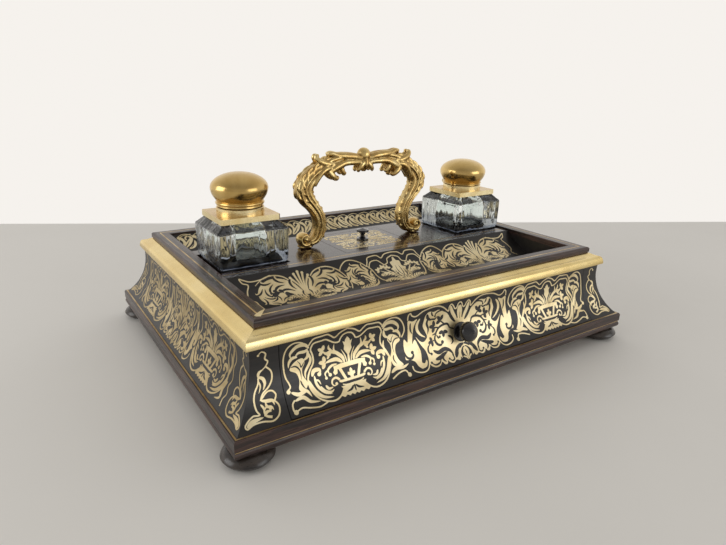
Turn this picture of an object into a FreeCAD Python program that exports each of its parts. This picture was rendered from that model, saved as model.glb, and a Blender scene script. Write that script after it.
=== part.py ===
"""Desk inkstand with two lidded glass ink bottles, two pen trays, a lidded compartment and a drawer.

The origin is on the ground under the middle of the stand, +Z up, the drawer facing -Y, millimetres.
Pieces that run round the four sides are drawn by their cross-section: "out" is the distance outward
from the upper frame's outer edge, and the ends are cut to 45-degree mitres.
"""
import FreeCAD
import Part
import math
import os
import re

import Sketcher
from FreeCAD import Placement, Rotation, Vector

SIZES = {
    # upper frame, which sets the plan of the whole stand
    "half_width": 149.3,
    "half_depth": 110.1,
    "frame_base": 73.1,
    "frame_top": 78.0,
    "rail_width": 12.5,
    "rail_round": 1.8,
    "string_width": 1.0,
    "string_depth": 1.0,
    "frame_string_out": 6.3,
    # feet and plinth
    "foot_height": 10.0,
    "foot_radius": 15.5,
    "foot_inset": 12.0,
    "foot_base_radius": 9.0,
    "foot_neck_radius": 10.5,
    "foot_spigot_radius": 3.0,
    "foot_spigot_length": 5.0,
    "plinth_out": 23.2,
    "plinth_top": 22.0,
    "plinth_step": 0.8,
    "plinth_rebate_out": 17.0,
    "base_board_top": 16.0,
    "bead_top": 14.4,
    "bead_round": 3.2,
    "quirk_depth": 1.5,
    "quirk_top": 15.3,
    "fascia_top": 20.9,
    # concave sides
    "flare_out": 20.3,
    "waist_out": 6.07,
    "side_radius": 51.7,
    "side_top": 64.2,
    "carcass_in": 8.0,
    "moulding_in": 2.0,
    # brass moulding under the frame
    "nose_out": 7.3,
    "nose_bottom": 65.2,
    "nose_top": 68.7,
    "nose_top_out": 8.0,
    "nose_round": 1.9,
    "ogee_out": 5.6,
    "ogee_bottom": 70.7,
    "ogee_round": 9.0,
    # drawer
    "joint_x": 137.5,
    "front_gap": 0.4,
    "drawer_gap": 0.8,
    "drawer_board": 5.0,
    "drawer_base": 24.0,
    "drawer_rim": 50.0,
    "drawer_back_y": 99.0,
    "drawer_front_in": 4.0,
    "drawer_floor": 3.0,
    "drawer_floor_rise": 1.5,
    "runner_width": 12.0,
    "guide_rise": 8.0,
    "knob_out": 8.93,
    "knob_height": 40.0,
    "knob_tilt": 69.7,
    "knob_lift": 0.75,
    "knob_rim_centre": 4.1,
    "knob_rim_radius": 3.6,
    "knob_rim_height": 12.5,
    "knob_join_radius": 6.414,
    "knob_join_height": 15.258,
    "knob_flange_radius": 7.0,
    "knob_neck_radius": 3.2,
    "knob_length": 17.6,
    "knob_spigot_radius": 2.5,
    "knob_spigot_length": 8.0,
    # inside the case
    "dust_board_base": 53.5,
    "dust_board_top": 57.0,
    "cheek_x": 136.8,
    "deck_base": 71.5,
    "deck_top": 76.5,
    "deck_front_y": 32.0,
    "strip_width": 7.0,
    "deck_back_y": 42.0,
    "front_tray_depth": 16.0,
    "front_tray_radius": 41.6,
    "back_tray_depth": 13.6,
    "back_tray_radius": 35.2,
    # compartment between the bottles
    "lid_half_x": 33.5,
    "lid_front_y": 20.5,
    "lid_back_y": 34.6,
    "lid_gap": 0.4,
    "lid_thickness": 4.9,
    "box_half_x": 36.0,
    "box_front_y": 23.0,
    "box_back_y": 37.0,
    "box_wall": 4.5,
    "box_floor": 3.0,
    "lid_knob_radius": 5.2,
    "lid_knob_foot_radius": 5.0,
    "lid_knob_waist": 1.8,
    "lid_knob_height": 10.0,
    # bottles
    "bottle_x": 108.9,
    "bottle_y": 5.0,
    "bottle_half_x": 26.5,
    "bottle_half_y": 25.0,
    "bottle_corner": 4.5,
    "bottle_base": 74.5,
    "bottle_shoulder": 103.5,
    "bottle_top": 108.4,
    "recess_gap": 0.5,
    "glass_floor": 4.5,
    "chamber_radius": 16.5,
    "chamber_shoulder": 99.0,
    "throat_base": 104.5,
    "throat_radius": 11.0,
    "throat_top": 114.0,
    "throat_wall": 3.0,
    # brass collar and domed lid
    "plate_half_x": 22.2,
    "plate_half_y": 20.6,
    "plate_corner": 1.2,
    "plate_top": 112.4,
    "ring_radius": 17.2,
    "ring_groove_radius": 16.6,
    "ring_groove_base": 114.1,
    "ring_groove_top": 114.9,
    "ring_top": 116.7,
    "collar_clearance": 0.1,
    "lip_base": 114.2,
    "dome_base": 117.2,
    "dome_radius": 20.1,
    "dome_belly": 128.7,
    "dome_shoulder_radius": 9.0,
    "dome_join_radius": 16.26,
    "dome_join_height": 136.07,
    "dome_top": 141.2,
    "dome_wall": 1.4,
    "dome_inner_join_radius": 15.46,
    "dome_inner_join_height": 134.93,
    "hinge_y": 18.8,
    "hinge_height": 117.3,
    "hinge_half_length": 6.5,
    "hinge_middle": 2.8,
    "hinge_split": 0.3,
    "knuckle_radius": 1.7,
    "pin_radius": 0.8,
    "pin_clearance": 0.05,
    # carrying handle
    "handle_y": 8.0,
    "handle_tube_radius": 5.5,
    "handle_foot_x": 55.8,
    "volute_radius": 7.8,
    "volute_half_width": 5.8,
    "foot_pad_half_x": 4.5,
    "foot_pad_height": 2.2,
    "cabochon_radius": 5.8,
    "cabochon_height": 147.9,
    "stud_radius": 2.0,
    "stud_clearance": 0.05,
    "stud_engagement": 6.0,
    "nut_radius": 4.0,
    "nut_height": 3.0,
    "stud_tail": 4.5,
}

# The handle's centre line from the middle of its arch to its right foot, as (x, z) corners to be rounded.
HANDLE_LINE = [(0, 144.8), (26, 147.3), (47, 142), (59.5, 128.5), (51.5, 114.5), (41.6, 104),
               (41.2, 91), (46.5, 83.2), (55, 82.6)]

doc = FreeCAD.newDocument("Inkstand")
sheet = doc.addObject("Spreadsheet::Sheet", "Sizes")
for line, (alias, size) in enumerate(SIZES.items(), 1):
    sheet.set(f"A{line}", alias)
    sheet.set(f"B{line}", str(size))
    sheet.setAlias(f"B{line}", alias)
doc.recompute()

ALIASES = re.compile(r"\b(" + "|".join(SIZES) + r")\b")
pieces = []


def formula(text):
    """A formula with every size name turned into its cell."""
    return ALIASES.sub(r"Sizes.\1", text)


def value(text):
    return float(sheet.evalExpression(formula(text)))


def bind(item, **formulas):
    """Bind properties to sheet formulas; a double underscore in a keyword stands for a dot."""
    for name, text in formulas.items():
        item.setExpression(name.replace("__", "."), formula(text))


def arc_between(start, end, radius, turn):
    """The shorter arc from start to end; turn is 1 anticlockwise and -1 clockwise."""
    chord = end - start
    middle = (start + end) * 0.5
    rise = math.sqrt(radius ** 2 - chord.Length ** 2 / 4)
    left = Vector(-chord.y, chord.x, 0).normalize()
    centre = middle + left * (rise * turn)
    angles = [math.atan2(point.y - centre.y, point.x - centre.x) for point in (start, end)]
    if turn < 0:
        angles.reverse()
    return Part.ArcOfCircle(Part.Circle(centre, Vector(0, 0, 1), radius), *angles)


def outline(sketch, corners, arcs=None):
    """Close a loop through corners, pairs of formulas. arcs: side number to (radius formula, turn)."""
    arcs = arcs or {}
    points = [Vector(value(across), value(up), 0) for across, up in corners]
    first = sketch.GeometryCount
    count = len(points)
    ends = []
    for number, start in enumerate(points):
        end = points[(number + 1) % count]
        if number in arcs:
            radius, turn = arcs[number]
            sketch.addGeometry(arc_between(start, end, value(radius), turn))
            ends.append((1, 2) if turn > 0 else (2, 1))
        else:
            sketch.addGeometry(Part.LineSegment(start, end))
            ends.append((1, 2))
    for number in range(count):
        following = (number + 1) % count
        sketch.addConstraint(Sketcher.Constraint(
            "Coincident", first + number, ends[number][1], first + following, ends[following][0]))
    for number, (across, up) in enumerate(corners):
        place_point(sketch, first + number, ends[number][0], across, "DistanceX", -2)
        place_point(sketch, first + number, ends[number][0], up, "DistanceY", -1)
    for number, (radius, _) in arcs.items():
        datum = sketch.addConstraint(Sketcher.Constraint("Radius", first + number, value(radius)))
        sketch.setExpression(f"Constraints[{datum}]", formula(radius))


def place_point(sketch, side, end, text, kind, axis):
    if text == "0":
        sketch.addConstraint(Sketcher.Constraint("PointOnObject", side, end, axis))
        return
    datum = sketch.addConstraint(Sketcher.Constraint(kind, -1, 1, side, end, value(text)))
    sketch.setExpression(f"Constraints[{datum}]", formula(text))


def circle(sketch, across, up, radius):
    """A circle whose centre and radius are formulas."""
    centre = Vector(value(across), value(up), 0)
    ring = sketch.addGeometry(Part.Circle(centre, Vector(0, 0, 1), value(radius)))
    place_point(sketch, ring, 3, across, "DistanceX", -2)
    place_point(sketch, ring, 3, up, "DistanceY", -1)
    datum = sketch.addConstraint(Sketcher.Constraint("Radius", ring, value(radius)))
    sketch.setExpression(f"Constraints[{datum}]", formula(radius))


def body(label):
    return doc.addObject("PartDesign::Body", label)


def sketch_on(owner, role, offset="0", centre=None):
    """A sketch on one of the body's origin planes, moved along the plane's normal by a formula.

    centre moves the sketch's own origin, as a pair of formulas.
    """
    plane = next(item for item in owner.Origin.OriginFeatures if item.Role == role)
    sketch = owner.newObject("Sketcher::SketchObject", owner.Name + "Sketch")
    sketch.AttachmentSupport = [(plane, "")]
    sketch.MapMode = "FlatFace"
    bind(sketch, AttachmentOffset__Base__z=offset)
    if centre:
        bind(sketch, AttachmentOffset__Base__x=centre[0], AttachmentOffset__Base__y=centre[1])
    return sketch


def pad(owner, sketch, length):
    feature = owner.newObject("PartDesign::Pad", owner.Name + "Pad")
    feature.Profile = sketch
    bind(feature, Length=length)
    return feature


def pocket(owner, sketch, length, forward=False):
    """Cut against the sketch's normal, or along it when forward."""
    feature = owner.newObject("PartDesign::Pocket", owner.Name + "Pocket")
    feature.Profile = sketch
    feature.Reversed = forward
    bind(feature, Length=length)
    return feature


def turned(owner, sketch, kind="PartDesign::Revolution"):
    """Turn a profile round its sketch's upright axis."""
    feature = owner.newObject(kind, owner.Name + "Turned")
    feature.Profile = sketch
    feature.ReferenceAxis = (sketch, ["V_Axis"])
    feature.Angle = 360
    return feature


def keep(*owners):
    """List finished pieces for export."""
    pieces.extend(owners)


def put(owner, across="0", along="0", up="0"):
    """Move a piece to where it belongs."""
    bind(owner, Placement__Base__x=across, Placement__Base__y=along, Placement__Base__z=up)


def board(label, low, high):
    """A plain rectangular board between two corners given as formulas."""
    item = doc.addObject("Part::Box", label)
    lengths = [f"({far}) - ({near})" for near, far in zip(low, high)]
    bind(item, Length=lengths[0], Width=lengths[1], Height=lengths[2])
    put(item, *low)
    return item


def rectangle(low_x, low_y, high_x, high_y):
    return [(low_x, low_y), (high_x, low_y), (high_x, high_y), (low_x, high_y)]


def octagon(half_x, half_y, corner):
    """A rectangle with its corners cut off, as corners for outline."""
    near_x = f"({half_x}) - ({corner})"
    near_y = f"({half_y}) - ({corner})"
    return [(f"-({near_x})", f"-({half_y})"), (near_x, f"-({half_y})"),
            (half_x, f"-({near_y})"), (half_x, near_y),
            (near_x, half_y), (f"-({near_x})", half_y),
            (f"-({half_x})", near_y), (f"-({half_x})", f"-({near_y})")]


# ---- pieces that run round the four sides

SIDES = {
    "front": (0, "half_width", "half_depth"),
    "back": (180, "half_width", "half_depth"),
    "left": (-90, "half_depth", "half_width"),
    "right": (90, "half_depth", "half_width"),
}


def side_bar(label, side, section, arcs=None, start=None, end=None):
    """A bar along one side of the stand. section holds (out, up) corners.

    start and end are the bar's square ends along the side; without one, that end is mitred.
    """
    angle, run, reach = SIDES[side]
    far = f"{run} + plinth_out + string_width"
    first = start or f"-({far})"
    last = end or far
    item = body(label)
    profile = sketch_on(item, "YZ_Plane", first)
    outline(profile, [(f"-({reach} + {out})", up) for out, up in section], arcs)
    pad(item, profile, f"({last}) - ({first})")
    if not (start and end):
        cutter = sketch_on(item, "XY_Plane")
        if not end:
            outline(cutter, mitre_corner("", run, reach))
        if not start:
            outline(cutter, mitre_corner("-", run, reach))
        pocket(item, cutter, "2 * frame_top", forward=True)
    item.Placement = Placement(Vector(), Rotation(Vector(0, 0, 1), angle))
    return item


def mitre_corner(sign, run, reach):
    """The triangle that a 45-degree mitre cuts from one end of a bar on the front."""
    inner = "2 * rail_width"
    outer = "2 * plinth_out"
    return [(f"{sign}({run} - {inner})", f"-({reach} - {inner})"),
            (f"{sign}({run} + {outer})", f"-({reach} + {outer})"),
            (f"{sign}({run} + {outer})", f"-({reach} - {inner})")]


def carcass_section():
    """A side board: flush inside, hollow outside, rebated over the plinth and behind the moulding."""
    corners = [("-carcass_in", "base_board_top"), ("carcass_in", "base_board_top"),
               ("carcass_in", "plinth_top"), ("flare_out", "plinth_top"),
               ("waist_out", "side_top"), ("-moulding_in", "side_top"),
               ("-moulding_in", "frame_base"), ("-carcass_in", "frame_base")]
    return corners, {3: ("side_radius", 1)}


def plinth_section():
    """The base moulding: a bead, a quirk that holds the lower stringing, and a plain fascia."""
    quirk = "plinth_out - quirk_depth"
    lip = "plinth_out - plinth_step"
    string = "flare_out + 0.4"
    corners = [("plinth_rebate_out", "foot_height"), (lip, "foot_height"), (lip, "bead_top"),
               (quirk, "bead_top"), (quirk, "quirk_top"), ("plinth_out", "quirk_top"),
               ("plinth_out", "fascia_top"), (lip, "plinth_top"),
               (f"{string} + string_width", "plinth_top"),
               (f"{string} + string_width", "plinth_top - string_depth"),
               (string, "plinth_top - string_depth"), (string, "plinth_top"),
               ("carcass_in", "plinth_top"), ("carcass_in", "base_board_top"),
               ("plinth_rebate_out", "base_board_top")]
    return corners, {1: ("bead_round", -1)}


def moulding_section():
    """The brass moulding: a rounded nose below a long ogee."""
    corners = [("-moulding_in", "side_top"), ("waist_out", "side_top"), ("nose_out", "nose_bottom"),
               ("nose_top_out", "nose_top"), ("ogee_out + 0.9", "ogee_bottom - 0.9"),
               ("ogee_out", "ogee_bottom"), ("0", "frame_base"), ("-moulding_in", "frame_base")]
    return corners, {2: ("nose_round", -1), 5: ("ogee_round", -1)}


def rail_section():
    """A frame rail: its outer top edge rounded, a groove for the stringing along its middle."""
    corners = [("-rail_width", "frame_base"), ("-0.6", "frame_base"), ("-0.6", "frame_base + 0.5"),
               ("0", "frame_base + 0.9"), ("0", "frame_top - rail_round"),
               ("-rail_round", "frame_top"), ("-frame_string_out + string_width", "frame_top"),
               ("-frame_string_out + string_width", "frame_top - string_depth"),
               ("-frame_string_out", "frame_top - string_depth"), ("-frame_string_out", "frame_top"),
               ("-rail_width + 0.5", "frame_top"), ("-rail_width", "frame_top - 0.5")]
    return corners, {4: ("rail_round", -1)}


def frame_ring(label, section, arcs=None):
    """Four mitred bars, each a piece of its own."""
    for side in SIDES:
        keep(side_bar(f"{label}_{side}", side, section, arcs))


def string_ring(label, section):
    """Four mitred strips of stringing, kept together as one piece."""
    strips = [side_bar(f"{label}_{side}_strip", side, section) for side in SIDES]
    ring = doc.addObject("Part::Compound", label)
    ring.Links = strips
    keep(ring)


def make_case_sides():
    section, arcs = carcass_section()
    keep(side_bar("side_panel_left", "left", section, arcs))
    keep(side_bar("side_panel_right", "right", section, arcs))
    keep(side_bar("back_panel", "back", section, arcs))
    keep(side_bar("front_post_left", "front", section, arcs, end="-joint_x"))
    keep(side_bar("front_post_right", "front", section, arcs, start="joint_x"))
    keep(board("front_top_rail",
               ("-joint_x", "-half_depth + moulding_in", "side_top"),
               ("joint_x", "-half_depth + carcass_in", "frame_base")))
    keep(board("front_bottom_rail",
               ("-joint_x", "-half_depth - carcass_in", "base_board_top"),
               ("joint_x", "-half_depth + carcass_in", "plinth_top")))


def make_mouldings():
    frame_ring("plinth", *plinth_section())
    frame_ring("brass_moulding", *moulding_section())
    frame_ring("frame_rail", *rail_section())
    string_ring("frame_stringing",
                rectangle("-frame_string_out", "frame_top - string_depth",
                          "-frame_string_out + string_width", "frame_top"))
    string_ring("plinth_top_stringing",
                rectangle("flare_out + 0.4", "plinth_top - string_depth",
                          "flare_out + 0.4 + string_width", "plinth_top"))
    string_ring("plinth_quirk_stringing",
                rectangle("plinth_out - quirk_depth", "bead_top",
                          "plinth_out - quirk_depth + 0.9", "quirk_top"))


# ---- base, feet and the boards inside

FOOT_X = "half_width + plinth_out - foot_inset"
FOOT_Y = "half_depth + plinth_out - foot_inset"


def make_base():
    base = body("base_board")
    plan = sketch_on(base, "XY_Plane", "foot_height")
    outline(plan, rectangle("-(half_width + plinth_rebate_out)", "-(half_depth + plinth_rebate_out)",
                            "half_width + plinth_rebate_out", "half_depth + plinth_rebate_out"))
    pad(base, plan, "base_board_top - foot_height")
    holes = sketch_on(base, "XY_Plane", "base_board_top")
    for sign_x in ("-", ""):
        for sign_y in ("-", ""):
            circle(holes, f"{sign_x}({FOOT_X})", f"{sign_y}({FOOT_Y})",
                   "foot_spigot_radius + stud_clearance")
    pocket(base, holes, "base_board_top - foot_height")
    keep(base)


def make_foot(label, sign_x, sign_y):
    foot = body(label)
    profile = sketch_on(foot, "XZ_Plane")
    belly = "foot_height * 0.45"
    outline(profile,
            [("0", "0"), ("foot_base_radius", "0"), ("foot_radius", belly),
             ("foot_neck_radius", "foot_height - 1"), ("foot_neck_radius", "foot_height"),
             ("foot_spigot_radius", "foot_height"),
             ("foot_spigot_radius", "foot_height + foot_spigot_length"),
             ("0", "foot_height + foot_spigot_length")],
            {1: ("foot_radius * 0.5", 1), 2: ("foot_radius * 0.42", 1)})
    turned(foot, profile)
    put(foot, f"{sign_x}({FOOT_X})", f"{sign_y}({FOOT_Y})")
    keep(foot)


def make_inner_boards():
    inner_x = "half_width - carcass_in"
    inner_y = "half_depth - carcass_in"
    keep(board("dust_board",
               (f"-({inner_x})", f"-({inner_y})", "dust_board_base"),
               (inner_x, inner_y, "dust_board_top")))
    reach = "half_depth - rail_width"
    keep(board("inner_cheek_left",
               (f"-({inner_x})", f"-({reach})", "dust_board_top"),
               ("-cheek_x", reach, "frame_base")))
    keep(board("inner_cheek_right",
               ("cheek_x", f"-({reach})", "dust_board_top"),
               (inner_x, reach, "frame_base")))


def make_runner(label, sign):
    """A drawer runner with a guide strip on its outer side."""
    runner = body(label)
    profile = sketch_on(runner, "XZ_Plane", "-(half_depth - carcass_in)")
    guide = "joint_x - front_gap"
    corners = [("joint_x - runner_width", "base_board_top"), ("half_width - carcass_in", "base_board_top"),
               ("half_width - carcass_in", "drawer_base + guide_rise"),
               (guide, "drawer_base + guide_rise"), (guide, "drawer_base - 0.2"),
               ("joint_x - runner_width", "drawer_base - 0.2")]
    outline(profile, [(f"{sign}({across})", up) for across, up in corners])
    pad(runner, profile, "2 * (half_depth - carcass_in)")
    keep(runner)


def make_tray(label, near, far, depth, radius, facing):
    """A pen tray: a hollow trough along X, rebated under the frame rail at its outer edge."""
    tray = body(label)
    rim = "deck_top"
    middle = f"(({near}) + ({far})) / 2"
    outer = f"{far} + {facing}(rail_width - carcass_in)"
    corners = [(near, "dust_board_top"), (near, rim), (middle, f"{rim} - {depth}"), (far, rim),
               (far, "frame_base"), (outer, "frame_base"), (outer, "dust_board_top")]
    turn = -1 if facing == "-" else 1
    profile = sketch_on(tray, "YZ_Plane", "-cheek_x")
    outline(profile, corners, {1: (radius, turn), 2: (radius, turn)})
    pad(tray, profile, "2 * cheek_x")
    keep(tray)


def make_deck():
    """The deck between the trays: a board with its openings, and a strip along its front and back."""
    strip_front = "-deck_front_y + strip_width"
    strip_back = "deck_back_y - strip_width"
    deck = body("deck_board")
    plan = sketch_on(deck, "XY_Plane", "deck_base")
    outline(plan, [("-cheek_x", strip_front), ("cheek_x", strip_front), ("cheek_x", strip_back),
                   ("lid_half_x + lid_gap", strip_back), ("lid_half_x + lid_gap", "-lid_front_y - lid_gap"),
                   ("-lid_half_x - lid_gap", "-lid_front_y - lid_gap"),
                   ("-lid_half_x - lid_gap", strip_back), ("-cheek_x", strip_back)])
    pad(deck, plan, "deck_top - deck_base")
    recesses = sketch_on(deck, "XY_Plane", "deck_top")
    for sign in ("-", ""):
        outline(recesses, rectangle(f"{sign}bottle_x - bottle_half_x - recess_gap",
                                    "bottle_y - bottle_half_y - recess_gap",
                                    f"{sign}bottle_x + bottle_half_x + recess_gap",
                                    "bottle_y + bottle_half_y + recess_gap"))
    pocket(deck, recesses, "deck_top - bottle_base")
    stud_holes = sketch_on(deck, "XY_Plane", "deck_top")
    for sign in ("-", ""):
        circle(stud_holes, f"{sign}handle_foot_x", "handle_y", "stud_radius + stud_clearance")
    pocket(deck, stud_holes, "deck_top - deck_base")
    front_strip = body("deck_strip_front")
    section = sketch_on(front_strip, "YZ_Plane", "-cheek_x")
    groove = f"{strip_front} - string_width"
    outline(section, [("-deck_front_y", "deck_base"), (strip_front, "deck_base"),
                      (strip_front, "deck_top - string_depth"), (groove, "deck_top - string_depth"),
                      (groove, "deck_top"), ("-deck_front_y", "deck_top")])
    pad(front_strip, section, "2 * cheek_x")
    keep(deck, front_strip)
    keep(board("deck_strip_back", ("-cheek_x", strip_back, "deck_base"),
               ("cheek_x", "deck_back_y", "deck_top")))
    keep(board("deck_stringing", ("-cheek_x", groove, "deck_top - string_depth"),
               ("cheek_x", strip_front, "deck_top")))


def make_compartment():
    """The box under the deck, and the lid that lifts out by its small turned knob."""
    box = body("compartment_box")
    outside = sketch_on(box, "XY_Plane", "dust_board_top")
    outline(outside, rectangle("-box_half_x", "-box_front_y", "box_half_x", "box_back_y"))
    pad(box, outside, "deck_base - dust_board_top")
    inside = sketch_on(box, "XY_Plane", "deck_base")
    outline(inside, rectangle("-(box_half_x - box_wall)", "-(box_front_y - box_wall)",
                              "box_half_x - box_wall", "box_back_y - box_wall"))
    pocket(box, inside, "deck_base - dust_board_top - box_floor")
    lid = body("compartment_lid")
    plan = sketch_on(lid, "XY_Plane", "deck_top - lid_thickness")
    outline(plan, rectangle("-lid_half_x", "-lid_front_y", "lid_half_x", "lid_back_y"))
    pad(lid, plan, "lid_thickness")
    middle = "(lid_back_y - lid_front_y) / 2"
    socket = sketch_on(lid, "XY_Plane", "deck_top")
    circle(socket, "0", middle, "lid_knob_waist + stud_clearance")
    pocket(lid, socket, "lid_thickness - 1.5")
    knob = body("compartment_lid_knob")
    profile = sketch_on(knob, "XZ_Plane")
    foot_top = "lid_knob_height * 0.3"
    cap_base = "lid_knob_height * 0.7"
    outline(profile,
            [("0", "1.6 - lid_thickness"), ("lid_knob_waist", "1.6 - lid_thickness"),
             ("lid_knob_waist", "0"), ("lid_knob_foot_radius", "0"), ("lid_knob_foot_radius", "1.2"),
             ("lid_knob_waist", foot_top), ("lid_knob_waist", "lid_knob_height * 0.45"),
             ("lid_knob_radius", cap_base), ("lid_knob_radius", "lid_knob_height * 0.86"),
             ("0", "lid_knob_height")],
            {4: ("lid_knob_foot_radius * 0.8", -1), 6: ("lid_knob_radius", -1)})
    turned(knob, profile)
    put(knob, "0", middle, "deck_top")
    keep(box, lid, knob)


# ---- drawer

def make_drawer():
    inner = "joint_x - drawer_gap - drawer_board"
    outer = "joint_x - drawer_gap"
    back_of_front = "-half_depth + drawer_front_in"
    make_drawer_front()
    for label, low, high in (("drawer_side_left", f"-({outer})", f"-({inner})"),
                             ("drawer_side_right", inner, outer)):
        keep(board(label, (low, back_of_front, "drawer_base"), (high, "drawer_back_y", "drawer_rim")))
    keep(board("drawer_back",
               (f"-({inner})", "drawer_back_y - drawer_board", "drawer_base"),
               (inner, "drawer_back_y", "drawer_rim")))
    keep(board("drawer_bottom",
               (f"-({inner})", back_of_front, "drawer_base + drawer_floor_rise"),
               (inner, "drawer_back_y - drawer_board", "drawer_base + drawer_floor_rise + drawer_floor")))
    make_drawer_knob()


def make_drawer_front():
    """The hollow-faced drawer front, bored for its knob square to its face."""
    section = [("-drawer_front_in", "plinth_top + front_gap"), ("flare_out - 0.25", "plinth_top + front_gap"),
               ("waist_out - 0.02", "side_top - front_gap"), ("-drawer_front_in", "side_top - front_gap")]
    front = side_bar("drawer_front", "front", section, {1: ("side_radius", 1)},
                     start="-joint_x + front_gap", end="joint_x - front_gap")
    hole = sketch_on(front, "XY_Plane", "knob_height", ("0", "-half_depth - knob_out"))
    circle(hole, "0", "0", "knob_spigot_radius + stud_clearance")
    tilt = Rotation(Vector(1, 0, 0), value("knob_tilt"))
    hole.AttachmentOffset = Placement(hole.AttachmentOffset.Base, tilt)
    drilled = pocket(front, hole, "knob_spigot_length + 0.5")
    drilled.Refine = False
    keep(front)


def make_drawer_knob():
    """A turned mushroom knob on a flange, its spigot glued in the drawer front."""
    knob = body("drawer_knob")
    profile = sketch_on(knob, "XZ_Plane")
    head = "knob_rim_height - knob_rim_radius"
    outline(profile,
            [("0", "-knob_spigot_length"), ("knob_spigot_radius", "-knob_spigot_length"),
             ("knob_spigot_radius", "knob_lift"), ("knob_flange_radius", "knob_lift"),
             ("knob_flange_radius", "knob_lift + 1.4"), ("knob_neck_radius", "knob_lift + 3.4"),
             ("knob_neck_radius", head), ("knob_rim_centre", head), ("knob_join_radius", "knob_join_height"),
             ("0", "knob_length")],
            {4: ("knob_flange_radius * 0.6", -1), 7: ("knob_rim_radius", 1),
             8: (crown_radius("knob_join_radius", "knob_length - knob_join_height"), 1)})
    turned(knob, profile)
    knob.Placement = Placement(Vector(), Rotation(Vector(1, 0, 0), value("knob_tilt")))
    put(knob, "0", "-half_depth - knob_out", "knob_height")
    keep(knob)


# ---- ink bottles

def make_bottle(side, sign):
    bottle = body(f"{side}_ink_bottle")
    foot = sketch_on(bottle, "XY_Plane", "bottle_base")
    outline(foot, octagon("bottle_half_x", "bottle_half_y", "bottle_corner"))
    pad(bottle, foot, "bottle_shoulder - bottle_base")
    shoulder = sketch_on(bottle, "XY_Plane", "bottle_shoulder")
    outline(shoulder, octagon("bottle_half_x", "bottle_half_y", "bottle_corner"))
    top = sketch_on(bottle, "XY_Plane", "bottle_top")
    outline(top, octagon("plate_half_x", "plate_half_y", "bottle_corner - 1"))
    bevel = bottle.newObject("PartDesign::AdditiveLoft", bottle.Name + "Bevel")
    bevel.Profile = shoulder
    bevel.Sections = [top]
    bevel.Ruled = True
    neck = sketch_on(bottle, "XY_Plane", "bottle_top")
    circle(neck, "0", "0", "throat_radius + throat_wall")
    pad(bottle, neck, "throat_top - bottle_top")
    hollow = sketch_on(bottle, "XZ_Plane")
    outline(hollow, [("0", "bottle_base + glass_floor"), ("chamber_radius", "bottle_base + glass_floor"),
                     ("chamber_radius", "chamber_shoulder"), ("throat_radius", "throat_base"),
                     ("throat_radius", "throat_top + 1"), ("0", "throat_top + 1")])
    turned(bottle, hollow, "PartDesign::Groove")
    put(bottle, f"{sign}bottle_x", "bottle_y")
    keep(bottle)


def make_collar(side, sign):
    """A square brass plate with a turned ring, cemented over the bottle's neck, and two hinge knuckles."""
    collar = body(f"{side}_collar")
    plate = sketch_on(collar, "XY_Plane", "bottle_top")
    outline(plate, octagon("plate_half_x", "plate_half_y", "plate_corner"))
    pad(collar, plate, "plate_top - bottle_top")
    ring = sketch_on(collar, "XZ_Plane")
    outline(ring, [("0", "plate_top - 1"), ("ring_radius", "plate_top - 1"),
                   ("ring_radius", "ring_groove_base"), ("ring_groove_radius", "ring_groove_base"),
                   ("ring_groove_radius", "ring_groove_top"), ("ring_radius", "ring_groove_top"),
                   ("ring_radius", "ring_top - 0.4"), ("ring_radius - 0.4", "ring_top"), ("0", "ring_top")])
    turned(collar, ring)
    for start, end in (("-hinge_half_length", "-(hinge_middle + hinge_split)"),
                       ("hinge_middle + hinge_split", "hinge_half_length")):
        tab = sketch_on(collar, "YZ_Plane", start)
        outline(tab, rectangle("ring_groove_radius - 2", "ring_groove_top", "hinge_y", "ring_top - 0.4"))
        pad(collar, tab, f"({end}) - ({start})")
        knuckle = sketch_on(collar, "YZ_Plane", start)
        circle(knuckle, "hinge_y", "hinge_height", "knuckle_radius")
        pad(collar, knuckle, f"({end}) - ({start})")
    cut_pin_hole(collar)
    bore = sketch_on(collar, "XY_Plane", "lip_base")
    circle(bore, "0", "0", "throat_radius + throat_wall + collar_clearance")
    pocket(collar, bore, "lip_base - bottle_top")
    mouth = sketch_on(collar, "XY_Plane", "ring_top")
    circle(mouth, "0", "0", "throat_radius")
    pocket(collar, mouth, "ring_top - lip_base")
    put(collar, f"{sign}bottle_x", "bottle_y")
    keep(collar)


def cut_pin_hole(owner):
    hole = sketch_on(owner, "YZ_Plane", "hinge_half_length")
    circle(hole, "hinge_y", "hinge_height", "pin_radius + pin_clearance")
    pocket(owner, hole, "2 * hinge_half_length")


def make_hinge_pin(side, sign):
    pin = body(f"{side}_hinge_pin")
    section = sketch_on(pin, "YZ_Plane", "-hinge_half_length")
    circle(section, "hinge_y", "hinge_height", "pin_radius")
    pad(pin, section, "2 * hinge_half_length")
    put(pin, f"{sign}bottle_x", "bottle_y")
    keep(pin)


def dome_foot(radius):
    """The radius of a dome's lower rim, where a ball of that radius is cut off at the dome's base."""
    return f"sqrt(({radius})^2 - (dome_belly - dome_base)^2)"


def crown_radius(reach, rise):
    """The radius of a crown that is centred on the axis, from its half-width and its height."""
    return f"(({reach})^2 + ({rise})^2) / (2 * ({rise}))"


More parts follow.
